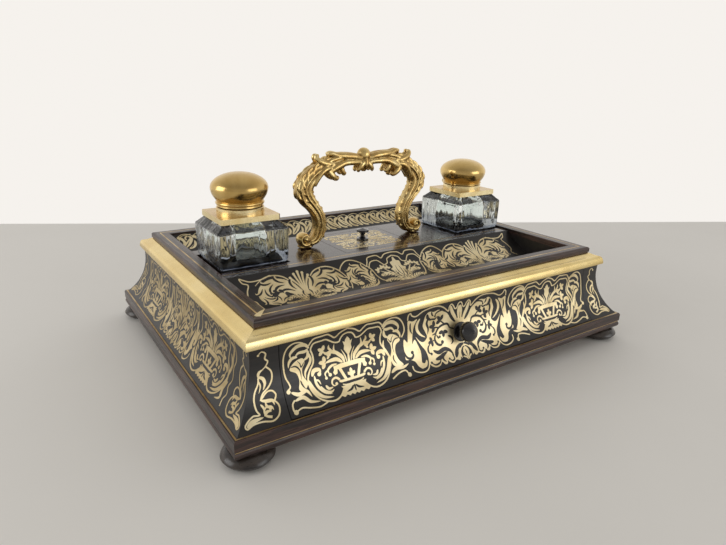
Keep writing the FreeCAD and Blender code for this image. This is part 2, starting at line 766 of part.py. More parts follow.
def make_domed_lid(side, sign):
    """A spun brass dome with a rolled-in foot, and the hinge's middle knuckle behind."""
    lid = body(f"{side}_domed_lid")
    leaf = sketch_on(lid, "YZ_Plane", "-hinge_middle")
    outline(leaf, rectangle(f"{dome_foot('dome_radius')} - 0.6", "hinge_height", "hinge_y",
                            "hinge_height + knuckle_radius"))
    pad(lid, leaf, "2 * hinge_middle")
    knuckle = sketch_on(lid, "YZ_Plane", "-hinge_middle")
    circle(knuckle, "hinge_y", "hinge_height", "knuckle_radius")
    pad(lid, knuckle, "2 * hinge_middle")
    cut_pin_hole(lid)
    shell = sketch_on(lid, "XZ_Plane")
    outline(shell,
            [(dome_foot("dome_radius - dome_wall"), "dome_base"), (dome_foot("dome_radius"), "dome_base"),
             ("dome_radius", "dome_belly"), ("dome_join_radius", "dome_join_height"),
             ("0", "dome_top"), ("0", "dome_top - dome_wall"),
             ("dome_inner_join_radius", "dome_inner_join_height"),
             ("dome_radius - dome_wall", "dome_belly")],
            {1: ("dome_radius", 1), 2: ("dome_shoulder_radius", 1),
             3: (crown_radius("dome_join_radius", "dome_top - dome_join_height"), 1),
             5: (crown_radius("dome_inner_join_radius", "dome_top - dome_wall - dome_inner_join_height"), -1),
             6: ("dome_shoulder_radius - dome_wall", -1), 7: ("dome_radius - dome_wall", -1)})
    turned(lid, shell)
    put(lid, f"{sign}bottle_x", "bottle_y")
    keep(lid)


# ---- handle

def rounded_path(corners):
    """Straight runs joined by tangent arcs through a list of points, as one wire."""
    edges = []
    last = corners[0]
    for before, corner, after in zip(corners, corners[1:], corners[2:]):
        into = (corner - before).normalize()
        onward = (after - corner).normalize()
        half_turn = into.getAngle(onward) / 2
        shorter = min((corner - before).Length, (after - corner).Length)
        trim = 0.45 * shorter
        start = corner - into * trim
        end = corner + onward * trim
        radius = trim / math.tan(half_turn)
        bisector = (onward - into).normalize()
        middle = corner + bisector * (radius / math.cos(half_turn) - radius)
        edges.append(Part.LineSegment(last, start).toShape())
        edges.append(Part.Arc(start, middle, end).toShape())
        last = end
    edges.append(Part.LineSegment(last, corners[-1]).toShape())
    return Part.Wire(edges)


def make_handle():
    """The cast handle: a round bar on a scrolling line, a volute at each foot and a ball on its crown."""
    level = value("handle_y")
    right = [Vector(x, level, z) for x, z in HANDLE_LINE]
    left = [Vector(-point.x, level, point.z) for point in reversed(right[1:])]
    spine = rounded_path(left + right)
    start = spine.Vertexes[0].Point
    heading = spine.Edges[0].tangentAt(spine.Edges[0].FirstParameter)
    ring = Part.Wire([Part.Circle(start, heading, value("handle_tube_radius")).toShape()])
    casting = spine.makePipeShell([ring], True, False)
    cabochon = Part.makeSphere(value("cabochon_radius"), Vector(0, level, value("cabochon_height")))
    casting = casting.fuse(cabochon)
    half_width = value("volute_half_width")
    for sign in (-1, 1):
        foot_x = sign * value("handle_foot_x")
        centre = Vector(foot_x, level + half_width, value("deck_top + volute_radius"))
        volute = Part.makeCylinder(value("volute_radius"), 2 * half_width, centre, Vector(0, -1, 0))
        casting = casting.fuse(volute)
        corner = Vector(foot_x - value("foot_pad_half_x"), level - half_width, value("deck_top"))
        casting = casting.fuse(Part.makeBox(2 * value("foot_pad_half_x"), 2 * half_width,
                                            value("foot_pad_height"), corner))
    for sign in (-1, 1):
        mouth = Vector(sign * value("handle_foot_x"), level, value("deck_top"))
        casting = casting.cut(Part.makeCylinder(value("stud_radius + stud_clearance"),
                                                value("stud_engagement + 0.3"), mouth))
    handle = doc.addObject("Part::Feature", "handle")
    handle.Shape = casting
    keep(handle)


def make_handle_fixings():
    """Two studs that come up through the deck into the handle's feet, and a nut under each."""
    for label, radius, low, high in (
            ("handle_studs", "stud_radius", "deck_base - stud_tail", "deck_top + stud_engagement"),
            ("handle_nuts", "nut_radius", "deck_base - nut_height", "deck_base")):
        pair = doc.addObject("Part::Compound", label)
        turned_pieces = []
        for sign in ("-", ""):
            item = body(f"{label}_one")
            section = sketch_on(item, "XY_Plane", low)
            circle(section, f"{sign}handle_foot_x", "handle_y", radius)
            if radius == "nut_radius":
                circle(section, f"{sign}handle_foot_x", "handle_y", "stud_radius + stud_clearance")
            pad(item, section, f"({high}) - ({low})")
            turned_pieces.append(item)
        pair.Links = turned_pieces
        keep(pair)


def check_and_export():
    doc.recompute()
    for item in doc.Objects:
        if "Invalid" in item.State or "Error" in item.State:
            raise RuntimeError(f"{item.Name} failed: {item.State}")
        if item.TypeId in ("PartDesign::Pocket", "PartDesign::Groove"):
            if item.Shape.Volume > item.BaseFeature.Shape.Volume - 0.01:
                raise RuntimeError(f"{item.Name} cuts nothing")
    os.makedirs("parts", exist_ok=True)
    for item in pieces:
        shape = item.Shape
        if shape.isNull() or not shape.isValid():
            raise RuntimeError(f"{item.Label} has no valid shape")
        shape.exportStep(f"parts/{item.Label}.step")


make_base()
for depth_name, depth_sign in (("front", "-"), ("back", "")):
    for width_name, width_sign in (("left", "-"), ("right", "")):
        make_foot(f"foot_{depth_name}_{width_name}", width_sign, depth_sign)
make_mouldings()
make_case_sides()
make_inner_boards()
make_runner("drawer_runner_left", "-")
make_runner("drawer_runner_right", "")
make_tray("front_pen_tray", "-deck_front_y", "-(half_depth - rail_width)",
          "front_tray_depth", "front_tray_radius", "-")
make_tray("back_pen_tray", "deck_back_y", "half_depth - rail_width",
          "back_tray_depth", "back_tray_radius", "")
make_deck()
make_compartment()
make_drawer()
for bottle_side, bottle_sign in (("left", "-"), ("right", "")):
    make_bottle(bottle_side, bottle_sign)
    make_collar(bottle_side, bottle_sign)
    make_hinge_pin(bottle_side, bottle_sign)
    make_domed_lid(bottle_side, bottle_sign)
make_handle()
make_handle_fixings()
check_and_export()
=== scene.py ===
"""The look of a boulle desk stand: finishes, brass marquetry, cast handle, cut glass, camera and light."""

import math

import bpy
from mathutils import Euler, Matrix, Vector, geometry


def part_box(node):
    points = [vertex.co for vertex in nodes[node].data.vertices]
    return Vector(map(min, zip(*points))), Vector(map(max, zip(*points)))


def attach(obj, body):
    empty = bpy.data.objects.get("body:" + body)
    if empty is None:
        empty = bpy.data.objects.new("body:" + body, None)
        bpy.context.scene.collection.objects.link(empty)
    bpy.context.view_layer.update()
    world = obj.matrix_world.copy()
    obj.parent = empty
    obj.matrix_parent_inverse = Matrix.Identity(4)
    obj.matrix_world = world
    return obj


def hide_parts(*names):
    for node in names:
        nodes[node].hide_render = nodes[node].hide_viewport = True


MM = 0.001
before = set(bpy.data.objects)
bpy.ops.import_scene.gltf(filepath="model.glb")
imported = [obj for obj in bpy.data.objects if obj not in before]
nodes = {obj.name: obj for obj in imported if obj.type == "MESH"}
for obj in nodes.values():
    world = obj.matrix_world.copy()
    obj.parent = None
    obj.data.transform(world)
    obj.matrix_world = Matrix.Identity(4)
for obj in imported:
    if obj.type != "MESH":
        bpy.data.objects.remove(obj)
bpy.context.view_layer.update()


# ---------------------------------------------------------------- finishes
def add(tree, kind, **values):
    """A new shader node with some of its inputs set: From_Min stands for the input called From Min."""
    node = tree.nodes.new(f"ShaderNode{kind}")
    for name, value in values.items():
        node.inputs[name.replace("_", " ")].default_value = value
    return node


def noise(tree, scale, stretch=(1, 1, 1), detail=4.0, distortion=0.0, rough=0.55):
    """Noise in the piece's own space, drawn out along an axis that has a small stretch."""
    coords = add(tree, "TexCoord")
    mapping = add(tree, "Mapping", Scale=stretch)
    texture = add(tree, "TexNoise", Scale=scale, Detail=detail, Roughness=rough, Distortion=distortion)
    tree.links.new(coords.outputs["Object"], mapping.inputs["Vector"])
    tree.links.new(mapping.outputs["Vector"], texture.inputs["Vector"])
    return texture.outputs["Fac"]


def ramp(tree, value, stops):
    """Colours along a value."""
    node = add(tree, "ValToRGB")
    elements = node.color_ramp.elements
    while len(elements) < len(stops):
        elements.new(0.5)
    for element, (place, colour) in zip(elements, stops):
        element.position = place
        element.color = (*colour, 1)
    tree.links.new(value, node.inputs["Fac"])
    return node.outputs["Color"]


def ranged(tree, value, start, end, low=0.0, high=1.0):
    """A value that runs from start to end, brought to run from low to high."""
    node = add(tree, "MapRange", From_Min=start, From_Max=end, To_Min=low, To_Max=high)
    tree.links.new(value, node.inputs["Value"])
    return node.outputs["Result"]


def mixed(tree, factor, first, second, blend_type="MIX"):
    """Two colours mixed. Each input is a number, a colour or another node's output."""
    node = tree.nodes.new("ShaderNodeMix")
    node.data_type = "RGBA"
    node.blend_type = blend_type
    for name, value in (("Factor", factor), ("A", first), ("B", second)):
        if isinstance(value, bpy.types.NodeSocket):
            tree.links.new(value, node.inputs[name])
        else:
            node.inputs[name].default_value = value
    return node.outputs["Result"]


def axis_z(tree, vector):
    """The upright part of a vector."""
    parts = add(tree, "SeparateXYZ")
    tree.links.new(vector, parts.inputs[0])
    return parts.outputs["Z"]


NOISE_LOW, NOISE_HIGH = 0.3, 0.7  # most of a noise lies between these
COAT_ROUGHNESS = 0.12


def finish(name, stops, rough, tone, fine, metal=0.0, bump=(0.1, 0.0001), coat=0.0, **sockets):
    """A procedural material: tone is the noise behind its colour, fine the one behind its gloss and bump."""
    material = bpy.data.materials.new(name)
    material.use_nodes = True
    tree = material.node_tree
    shader = tree.nodes["Principled BSDF"]
    shader.inputs["Metallic"].default_value = metal
    shader.inputs["Coat Weight"].default_value = coat
    shader.inputs["Coat Roughness"].default_value = COAT_ROUGHNESS
    for socket, number in sockets.items():
        shader.inputs[socket].default_value = number
    colour_noise = noise(tree, *tone)
    fine_noise = noise(tree, *fine)
    gloss = ranged(tree, fine_noise, NOISE_LOW, NOISE_HIGH, *rough)
    strength, distance = bump
    relief = add(tree, "Bump", Strength=strength, Distance=distance)
    tree.links.new(fine_noise, relief.inputs["Height"])
    tree.links.new(ramp(tree, colour_noise, stops), shader.inputs["Base Color"])
    tree.links.new(gloss, shader.inputs["Roughness"])
    tree.links.new(relief.outputs["Normal"], shader.inputs["Normal"])
    return material


def colour_of(material):
    """A material's node tree, the socket of its colour and what is linked to it."""
    tree = material.node_tree
    socket = tree.nodes["Principled BSDF"].inputs["Base Color"]
    return tree, socket, socket.links[0].from_socket


def patina(material, dark, low, high):
    """Darkens the hollows of a casting, where polish never reaches."""
    tree, socket, polished = colour_of(material)
    hollows = add(tree, "NewGeometry").outputs["Pointiness"]
    reach = ranged(tree, hollows, low, high)
    tree.links.new(mixed(tree, reach, (*dark, 1), polished), socket)


def paint_top_shade(material, top):
    """Paints shade on the top of a brass plate: faces that look up are darkened, and its sides keep their
    full colour, a painted reflection.
    """
    tree, socket, plate_colour = colour_of(material)
    facing_up = axis_z(tree, add(tree, "NewGeometry").outputs["Normal"])
    shade = mixed(tree, facing_up, (1, 1, 1, 1), (*top, 1))
    tree.links.new(mixed(tree, 1.0, plate_colour, shade, "MULTIPLY"), socket)


def shade_foot(material, shade_colour, low, high):
    """Paints shade on glass toward its foot, as a stand-in for the dark of the recess that it stands in."""
    tree, socket, clear = colour_of(material)
    rise = axis_z(tree, add(tree, "TexCoord").outputs["Object"])
    reach = ranged(tree, rise, low * MM, high * MM)
    tree.links.new(mixed(tree, reach, (*shade_colour, 1), clear), socket)


ALONG_X, ALONG_Y, EVENLY = (0.06, 1, 1), (1, 0.06, 1), (1, 1, 1)


def rosewood(name, along):
    """Streaky rosewood with its grain along an axis."""
    stops = [
        (0.32, (0.007, 0.004, 0.004)), (0.47, (0.024, 0.012, 0.010)), (0.55, (0.070, 0.034, 0.026)),
        (0.63, (0.020, 0.010, 0.009)), (0.74, (0.048, 0.024, 0.019)),
    ]
    return finish(
        name, stops, (0.24, 0.40), (230, along, 8, 0.5, 0.65), (900, along, 3),
        bump=(0.16, 0.00012), coat=0.1)


rosewood_x = rosewood("rosewood_along_x", ALONG_X)
rosewood_y = rosewood("rosewood_along_y", ALONG_Y)
deck_wood = finish(
    "rosewood_deck",
    [(0.3, (0.016, 0.008, 0.006)), (0.55, (0.034, 0.016, 0.012)), (0.7, (0.058, 0.027, 0.019))],
    (0.14, 0.26), (220, ALONG_X, 6, 1.0), (700, ALONG_X, 3), bump=(0.06, 0.0001), coat=0.3)
ebony = finish(
    "ebony_veneer",
    [(0.35, (0.005, 0.004, 0.004)), (0.6, (0.011, 0.009, 0.008)), (0.75, (0.020, 0.015, 0.013))],
    (0.28, 0.42), (300, ALONG_X, 5, 0.6), (1100, ALONG_X, 3), bump=(0.08, 0.0001), coat=0.08)
turned = finish(
    "ebony_turned",
    [(0.35, (0.004, 0.004, 0.006)), (0.6, (0.008, 0.008, 0.011)), (0.8, (0.018, 0.014, 0.014))],
    (0.08, 0.16), (200, (1, 1, 3), 5, 0.8), (600, (1, 1, 4), 3), bump=(0.04, 0.0001), coat=0.7)
worn_ebony = finish(
    "ebony_worn",
    [(0.35, (0.012, 0.009, 0.008)), (0.55, (0.040, 0.030, 0.024)), (0.75, (0.085, 0.068, 0.055))],
    (0.22, 0.42), (90, (1, 1, 2), 6, 0.6), (420, (1, 1, 3), 4), bump=(0.14, 0.00012), coat=0.2)
oak = finish(
    "carcass_oak", [(0.3, (0.13, 0.075, 0.035)), (0.55, (0.24, 0.15, 0.075)), (0.75, (0.32, 0.21, 0.11))],
    (0.5, 0.7), (180, ALONG_X, 8, 1.5), (700, ALONG_X, 4), bump=(0.3, 0.0002))
brass = finish(
    "brass_moulding", [(0.3, (0.80, 0.60, 0.25)), (0.5, (0.89, 0.70, 0.32)), (0.7, (0.95, 0.79, 0.43))],
    (0.20, 0.28), (24, EVENLY, 4, 0.2), (120, EVENLY, 2), metal=1.0, bump=(0.015, 0.00002))
stringing = finish(
    "brass_stringing", [(0.3, (0.36, 0.24, 0.11)), (0.5, (0.58, 0.43, 0.21)), (0.7, (0.76, 0.60, 0.34))],
    (0.34, 0.5), (70, EVENLY, 6, 0.5), (900, EVENLY, 3), metal=1.0, bump=(0.08, 0.00005))
inlay = finish(
    "brass_inlay", [(0.3, (0.64, 0.51, 0.27)), (0.5, (0.82, 0.69, 0.42)), (0.7, (0.93, 0.82, 0.55))],
    (0.32, 0.48), (60, EVENLY, 6, 0.5), (1800, EVENLY, 3), metal=1.0, bump=(0.08, 0.00005))
# A darker copy of the brass inlay for the two side panels: painted shade, where the sides turn away from the
# light.
shaded_inlay = finish(
    "brass_inlay_painted_shade", [(0.3, (0.38, 0.29, 0.15)), (0.5, (0.54, 0.43, 0.24)), (0.7, (0.68, 0.56, 0.34))],
    (0.34, 0.5), (60, EVENLY, 6, 0.5), (1800, EVENLY, 3), metal=1.0, bump=(0.08, 0.00005))
bright = finish(
    "brass_polished", [(0.3, (0.55, 0.36, 0.12)), (0.5, (0.67, 0.47, 0.18)), (0.72, (0.78, 0.58, 0.26))],
    (0.17, 0.27), (40, EVENLY, 6, 0.6), (500, (1, 1, 0.2), 3), metal=1.0, bump=(0.03, 0.00004))
# Brighter than the other brass: a painted reflection on the plate's sides. Its top then gets painted shade.
plate_brass = finish(
    "brass_plate", [(0.3, (0.84, 0.65, 0.30)), (0.5, (0.94, 0.78, 0.43)), (0.7, (0.99, 0.87, 0.55))],
    (0.20, 0.32), (60, EVENLY, 6, 0.6), (150, EVENLY, 2), metal=1.0, bump=(0.02, 0.00004))
paint_top_shade(plate_brass, (0.68, 0.58, 0.48))
gilt = finish(
    "gilt_bronze", [(0.3, (0.52, 0.32, 0.11)), (0.5, (0.74, 0.53, 0.21)), (0.7, (0.90, 0.72, 0.36))],
    (0.20, 0.36), (110, EVENLY, 6, 0.6), (900, EVENLY, 4), metal=1.0, bump=(0.2, 0.00015))
patina(gilt, (0.10, 0.05, 0.018), 0.43, 0.52)
steel = finish(
    "steel_pin", [(0.35, (0.30, 0.29, 0.28)), (0.65, (0.48, 0.47, 0.45))],
    (0.28, 0.42), (300, EVENLY, 4), (1500, (1, 1, 0.2), 3), metal=1.0)
glass = finish(
    "cut_glass", [(0.3, (0.74, 0.80, 0.78)), (0.7, (0.88, 0.92, 0.90))],
    (0.0, 0.03), (40, EVENLY, 2), (75, (1, 1, 0.3), 2), bump=(0.9, 0.003),
    **{"Transmission Weight": 1.0, "IOR": 1.52})
# A dark opaque finish for the bottle's underside and lowest rows: painted shade where the glass stands in its
# recess.
ground_glass = finish(
    "ground_glass",
    [(0.42, (0.006, 0.007, 0.009)), (0.56, (0.035, 0.038, 0.042)), (0.68, (0.22, 0.23, 0.22))],
    (0.45, 0.6), (95, EVENLY, 4, 1.5), (600, EVENLY, 3), bump=(0.2, 0.0002))

SLOT_FINISHES = {
    "ebony": ebony, "turned_ebony": turned, "rosewood": rosewood_x, "carcass_oak": oak, "brass": brass,
    "polished_brass": bright, "gilt_bronze": gilt, "steel": steel, "clear_glass": glass,
}
# The CAD nodes that look different from the rest of their slot.
OWN_FINISHES = [
    (rosewood_y, ("frame_rail_left", "frame_rail_right", "plinth_left", "plinth_right")),
    (deck_wood, ("deck_board", "deck_strip_front", "deck_strip_back", "compartment_lid")),
    (ebony, ("front_pen_tray", "back_pen_tray")),
    (stringing, ("frame_stringing", "deck_stringing", "plinth_top_stringing", "plinth_quirk_stringing")),
    (plate_brass, ("left_collar", "right_collar")),
    (worn_ebony, ("foot_front_left", "foot_front_right", "foot_back_left", "foot_back_right")),
]
NODE_FINISHES = {name: material for material, names in OWN_FINISHES for name in names}
for node_name, node in nodes.items():
    for material_slot in node.material_slots:
        slot_finish = SLOT_FINISHES[material_slot.material.name.split(".")[0]]
        material_slot.material = NODE_FINISHES.get(node_name, slot_finish)


def new_piece(name, verts, faces, *materials):
    """A new mesh object in the scene."""
    mesh = bpy.data.meshes.new(name)
    mesh.from_pydata(verts, [], faces)
    for material in materials:
        mesh.materials.append(material)
    piece = bpy.data.objects.new(name, mesh)
    bpy.context.scene.collection.objects.link(piece)
    return piece


def soften(mesh, smooth_faces, sharp_degrees):
    """Shades some faces smooth, and keeps the edges that turn by more than an angle sharp."""
    mesh.polygons.foreach_set("use_smooth", smooth_faces)
    mesh.set_sharp_from_angle(angle=math.radians(sharp_degrees))


# ---------------------------------------------------------------- marquetry
BRASS, EBONY = 1, 0
SPAN_STEPS = 5
DOT_CORNERS = 10
LEAST_HALF_WIDTH = 0.04
LEAST_AREA = 1e-4


def smooth(points, closed=False, steps=SPAN_STEPS):
    """A Catmull-Rom line through a few points."""
    count = len(points)
    spans = count if closed else count - 1
    line = []
    for i in range(spans):
        if closed:
            a, b, c, d = (points[(i + k) % count] for k in (-1, 0, 1, 2))
        else:
            a, b, c, d = (points[min(max(i + k, 0), count - 1)] for k in (-1, 0, 1, 2))
        for step in range(steps):
            t = step / steps
            line.append(tuple(
                0.5 * (2 * q + (r - p) * t + (2 * p - 5 * q + 4 * r - s) * t**2
                       + (3 * q - p - 3 * r + s) * t**3)
                for p, q, r, s in zip(a, b, c, d)
            ))
    if not closed:
        line.append(tuple(points[-1]))
    return line


def area(polygon):
    """Twice the signed area of a polygon, positive when it runs anticlockwise."""
    return sum(a[0] * b[1] - b[0] * a[1] for a, b in zip(polygon, polygon[1:] + polygon[:1]))


def hull(points):
    """The convex outline of a few points, anticlockwise."""
    points = sorted(set(points))
    if len(points) < 3:
        return points
    outline = []
    for row in (points, points[::-1]):
        start = len(outline)
        for p in row:
            while len(outline) - start >= 2:
                a, b = outline[-2], outline[-1]
                if (b[0] - a[0]) * (p[1] - a[1]) - (b[1] - a[1]) * (p[0] - a[0]) > 0:
                    break
                outline.pop()
            outline.append(p)
        outline.pop()
    return outline


def full(share):
    """The width of a leaf along its length: pointed at both ends and fullest at two fifths."""
    return math.sin(math.pi * share**0.75) ** 0.8


def tail(share):
    """The width of a scroll along its length: full at its start and thin at its end."""
    return 1 - 0.72 * share


def swell(share):
    """The width of a stem that thickens towards its middle."""
    return 0.4 + 0.6 * math.sin(math.pi * share)


def even(share):
    """The width of a plain line."""
    return 1.0


def widening(share):
    """The width of a ray that is twice as wide at its tip."""
    return 0.5 + 0.5 * share


def flame(share):
    """The width of a leaf that is broad at its root and runs out to a point."""
    return (1 - share) ** 0.75 * (0.75 + 0.5 * math.sin(math.pi * share))


# A plume's lobes and slots: how far along its stem and out from it, as shares of its width.
LOBE = [(-0.2, 0.3), (0.06, 0.46), (0.14, 0.66), (0.02, 0.74)]
SLOT = [(0.34, 0.76), (0.2, 0.42), (-0.1, 0.2), (-0.55, 0.1)]


def beside_stem(points, x, y, heading, size, side):
    """Points along and out from a stem, set on its left where side is 1 and on its right where it is -1."""
    ahead, up = math.cos(heading), math.sin(heading)
    return [
        (x + size * (u * ahead - side * v * up), y + size * (u * up + side * v * ahead)) for u, v in points
    ]


class Pattern:
    """Shapes of brass and ebony in painter's order, in millimetres on a flat sheet."""

    def __init__(self):
        self.shapes = []

    def patch(self, points, tone=BRASS, curved=True):
        """A closed patch."""
        outline = smooth(points, closed=True) if curved else list(points)
        self.shapes.append((tone, outline if area(outline) > 0 else outline[::-1]))

    def stroke(self, points, width, profile=even, tone=BRASS):
        """A line of changing width through a few points."""
        line = smooth(points)
        sections = []
        for i, p in enumerate(line):
            a, b = line[max(i - 1, 0)], line[min(i + 1, len(line) - 1)]
            run = math.hypot(b[0] - a[0], b[1] - a[1]) or 1
            half = max(width * profile(i / (len(line) - 1)) / 2, LEAST_HALF_WIDTH)
            across = (-(b[1] - a[1]) / run * half, (b[0] - a[0]) / run * half)
            sections.append(((p[0] + across[0], p[1] + across[1]), (p[0] - across[0], p[1] - across[1])))
        for one, two in zip(sections, sections[1:]):
            outline = hull([*one, *two])
            if len(outline) > 2 and area(outline) > LEAST_AREA:
                self.shapes.append((tone, outline))

    def hook(self, points, width, tone=BRASS):
        """A line that ends in a ball."""
        self.stroke(points, width, swell, tone)
        self.dot(*points[-1], width * 0.7, tone)

    def leaf(self, points, width, tone=BRASS):
        """A pointed leaf along a line."""
        self.stroke(points, width, full, tone)

    def dot(self, x, y, radius, tone=BRASS):
        """A small round, as at the end of a scroll."""
        turns = [math.tau * k / DOT_CORNERS for k in range(DOT_CORNERS)]
        self.shapes.append((tone, [(x + radius * math.cos(a), y + radius * math.sin(a)) for a in turns]))

    def curl(self, x, y, radius, start, turn, width):
        """A scroll that winds in to a ball: start and turn are in degrees, and turn may be negative."""
        steps = int(abs(turn) / 45)
        points = []
        for i in range(steps + 1):
            share = i / steps
            angle = math.radians(start + turn * share)
            r = radius * (1 - 0.75 * share)
            points.append((x + r * math.cos(angle), y + r * math.sin(angle)))
        self.stroke(points, width, tail)
        self.dot(*points[-1], width * 0.62)

    def trefoil(self, x, y, angle, size, tone=BRASS):
        """Three round lobes and a short stem."""
        for turn in (-75, 0, 75):
            a = math.radians(angle + turn)
            spine = [(x + size * reach * math.cos(a), y + size * reach * math.sin(a)) for reach in (0.6, 1)]
            self.leaf([(x, y), *spine], size * 0.62, tone)

    def plume(self, points, width, count, fade=0.5):
        """A broad curved leaf whose edges are cut by dark slots into lobes that sweep back from its stem."""
        line = smooth(points, steps=8)

        def swelling(share):
            return min(0.35 + 3.5 * share, 1 - fade * share)

        self.stroke(points, width, swelling)
        self.dot(*points[-1], width * (1 - fade) * 0.42)
        slots = []
        for k in range(count):
            share = (k + 0.6) / count
            i = int(share * (len(line) - 2))
            (ax, ay), (bx, by) = line[i], line[i + 1]
            heading, size = math.atan2(by - ay, bx - ax), width * swelling(share)
            for side in (-1, 1):
                self.stroke(beside_stem(LOBE, ax, ay, heading, size, side), size * 0.2, flame)
                slots.append((beside_stem(SLOT, ax, ay, heading, size, side), size * 0.2))
        for slot, gap in slots:
            self.leaf(slot, gap, EBONY)

    def place(self, other, x=0.0, y=0.0, flip=False, across=1.0, up=1.0):
        """Another pattern, moved, stretched or turned over."""
        side = -across if flip else across
        for tone, outline in other.shapes:
            moved = [(x + side * a, y + up * b) for a, b in outline]
            self.shapes.append((tone, moved[::-1] if side * up < 0 else moved))


def mirrored(half):
    """A pattern made of a half and its mirror image."""
    whole = Pattern()
    whole.place(half)
    whole.place(half, flip=True)
    return whole


def end_flame():
    """The flame at the end of a long panel, in its own thin outline. The panel's end is on the left."""
    p = Pattern()
    p.stroke([(-0.4, 16.2), (1.6, 17.6), (1.3, 20), (-0.2, 24), (-0.6, 30), (0, 36), (2.4, 40.8), (6.5, 43),
              (11, 42.4), (14.2, 40), (15.8, 37.6)], 0.9)
    p.dot(0, 15.4, 1.3)
    p.leaf([(16.4, 37.5), (13.4, 40.4), (8.4, 40.4), (4.2, 37), (4.4, 34)], 2.3)
    p.leaf([(15.4, 37.4), (13.6, 36.2), (9.4, 36.2), (7, 34.2)], 1.9)
    p.leaf([(15.4, 36.6), (15, 32.6), (11.4, 30.6)], 1.9)
    p.leaf([(8.6, 34), (5.4, 34), (3, 31.8), (2.4, 28.8)], 1.9)
    p.patch([(6.2, 31.2), (11.4, 32.6), (12.8, 29.6), (10.8, 26), (10.8, 22), (13, 17), (9.4, 13.4),
             (6.8, 15), (8, 20), (6.8, 24.6), (3, 27.4)])
    p.leaf([(3.6, 28.8), (7, 28.6), (9.4, 25.4), (9.4, 20)], 1.0, EBONY)
    p.leaf([(12.6, 30), (10.4, 27.4), (9.8, 29.6), (8.2, 31.6)], 0.8, EBONY)
    p.leaf([(8.6, 20), (9.4, 17), (11, 14.2)], 1.0, EBONY)
    p.leaf([(15.2, 35.6), (16.8, 30), (12.6, 24), (12.2, 20)], 1.7)
    p.leaf([(1.4, 14.8), (6, 12.4), (11, 13.2), (13.6, 9)], 2.4)
    p.stroke([(2.2, 3.6), (6, 4.6), (11, 3.2), (17, 2.2), (22.6, 3.6)], 0.9)
    p.stroke([(2.2, 3.6), (0.4, 4.2), (0.6, 8), (2.6, 10)], 1)
    p.dot(1.4, 3.2, 1.5)
    p.leaf([(2.4, 9.4), (8, 10.2), (12, 6.6), (18, 5.2)], 2.2)
    return p


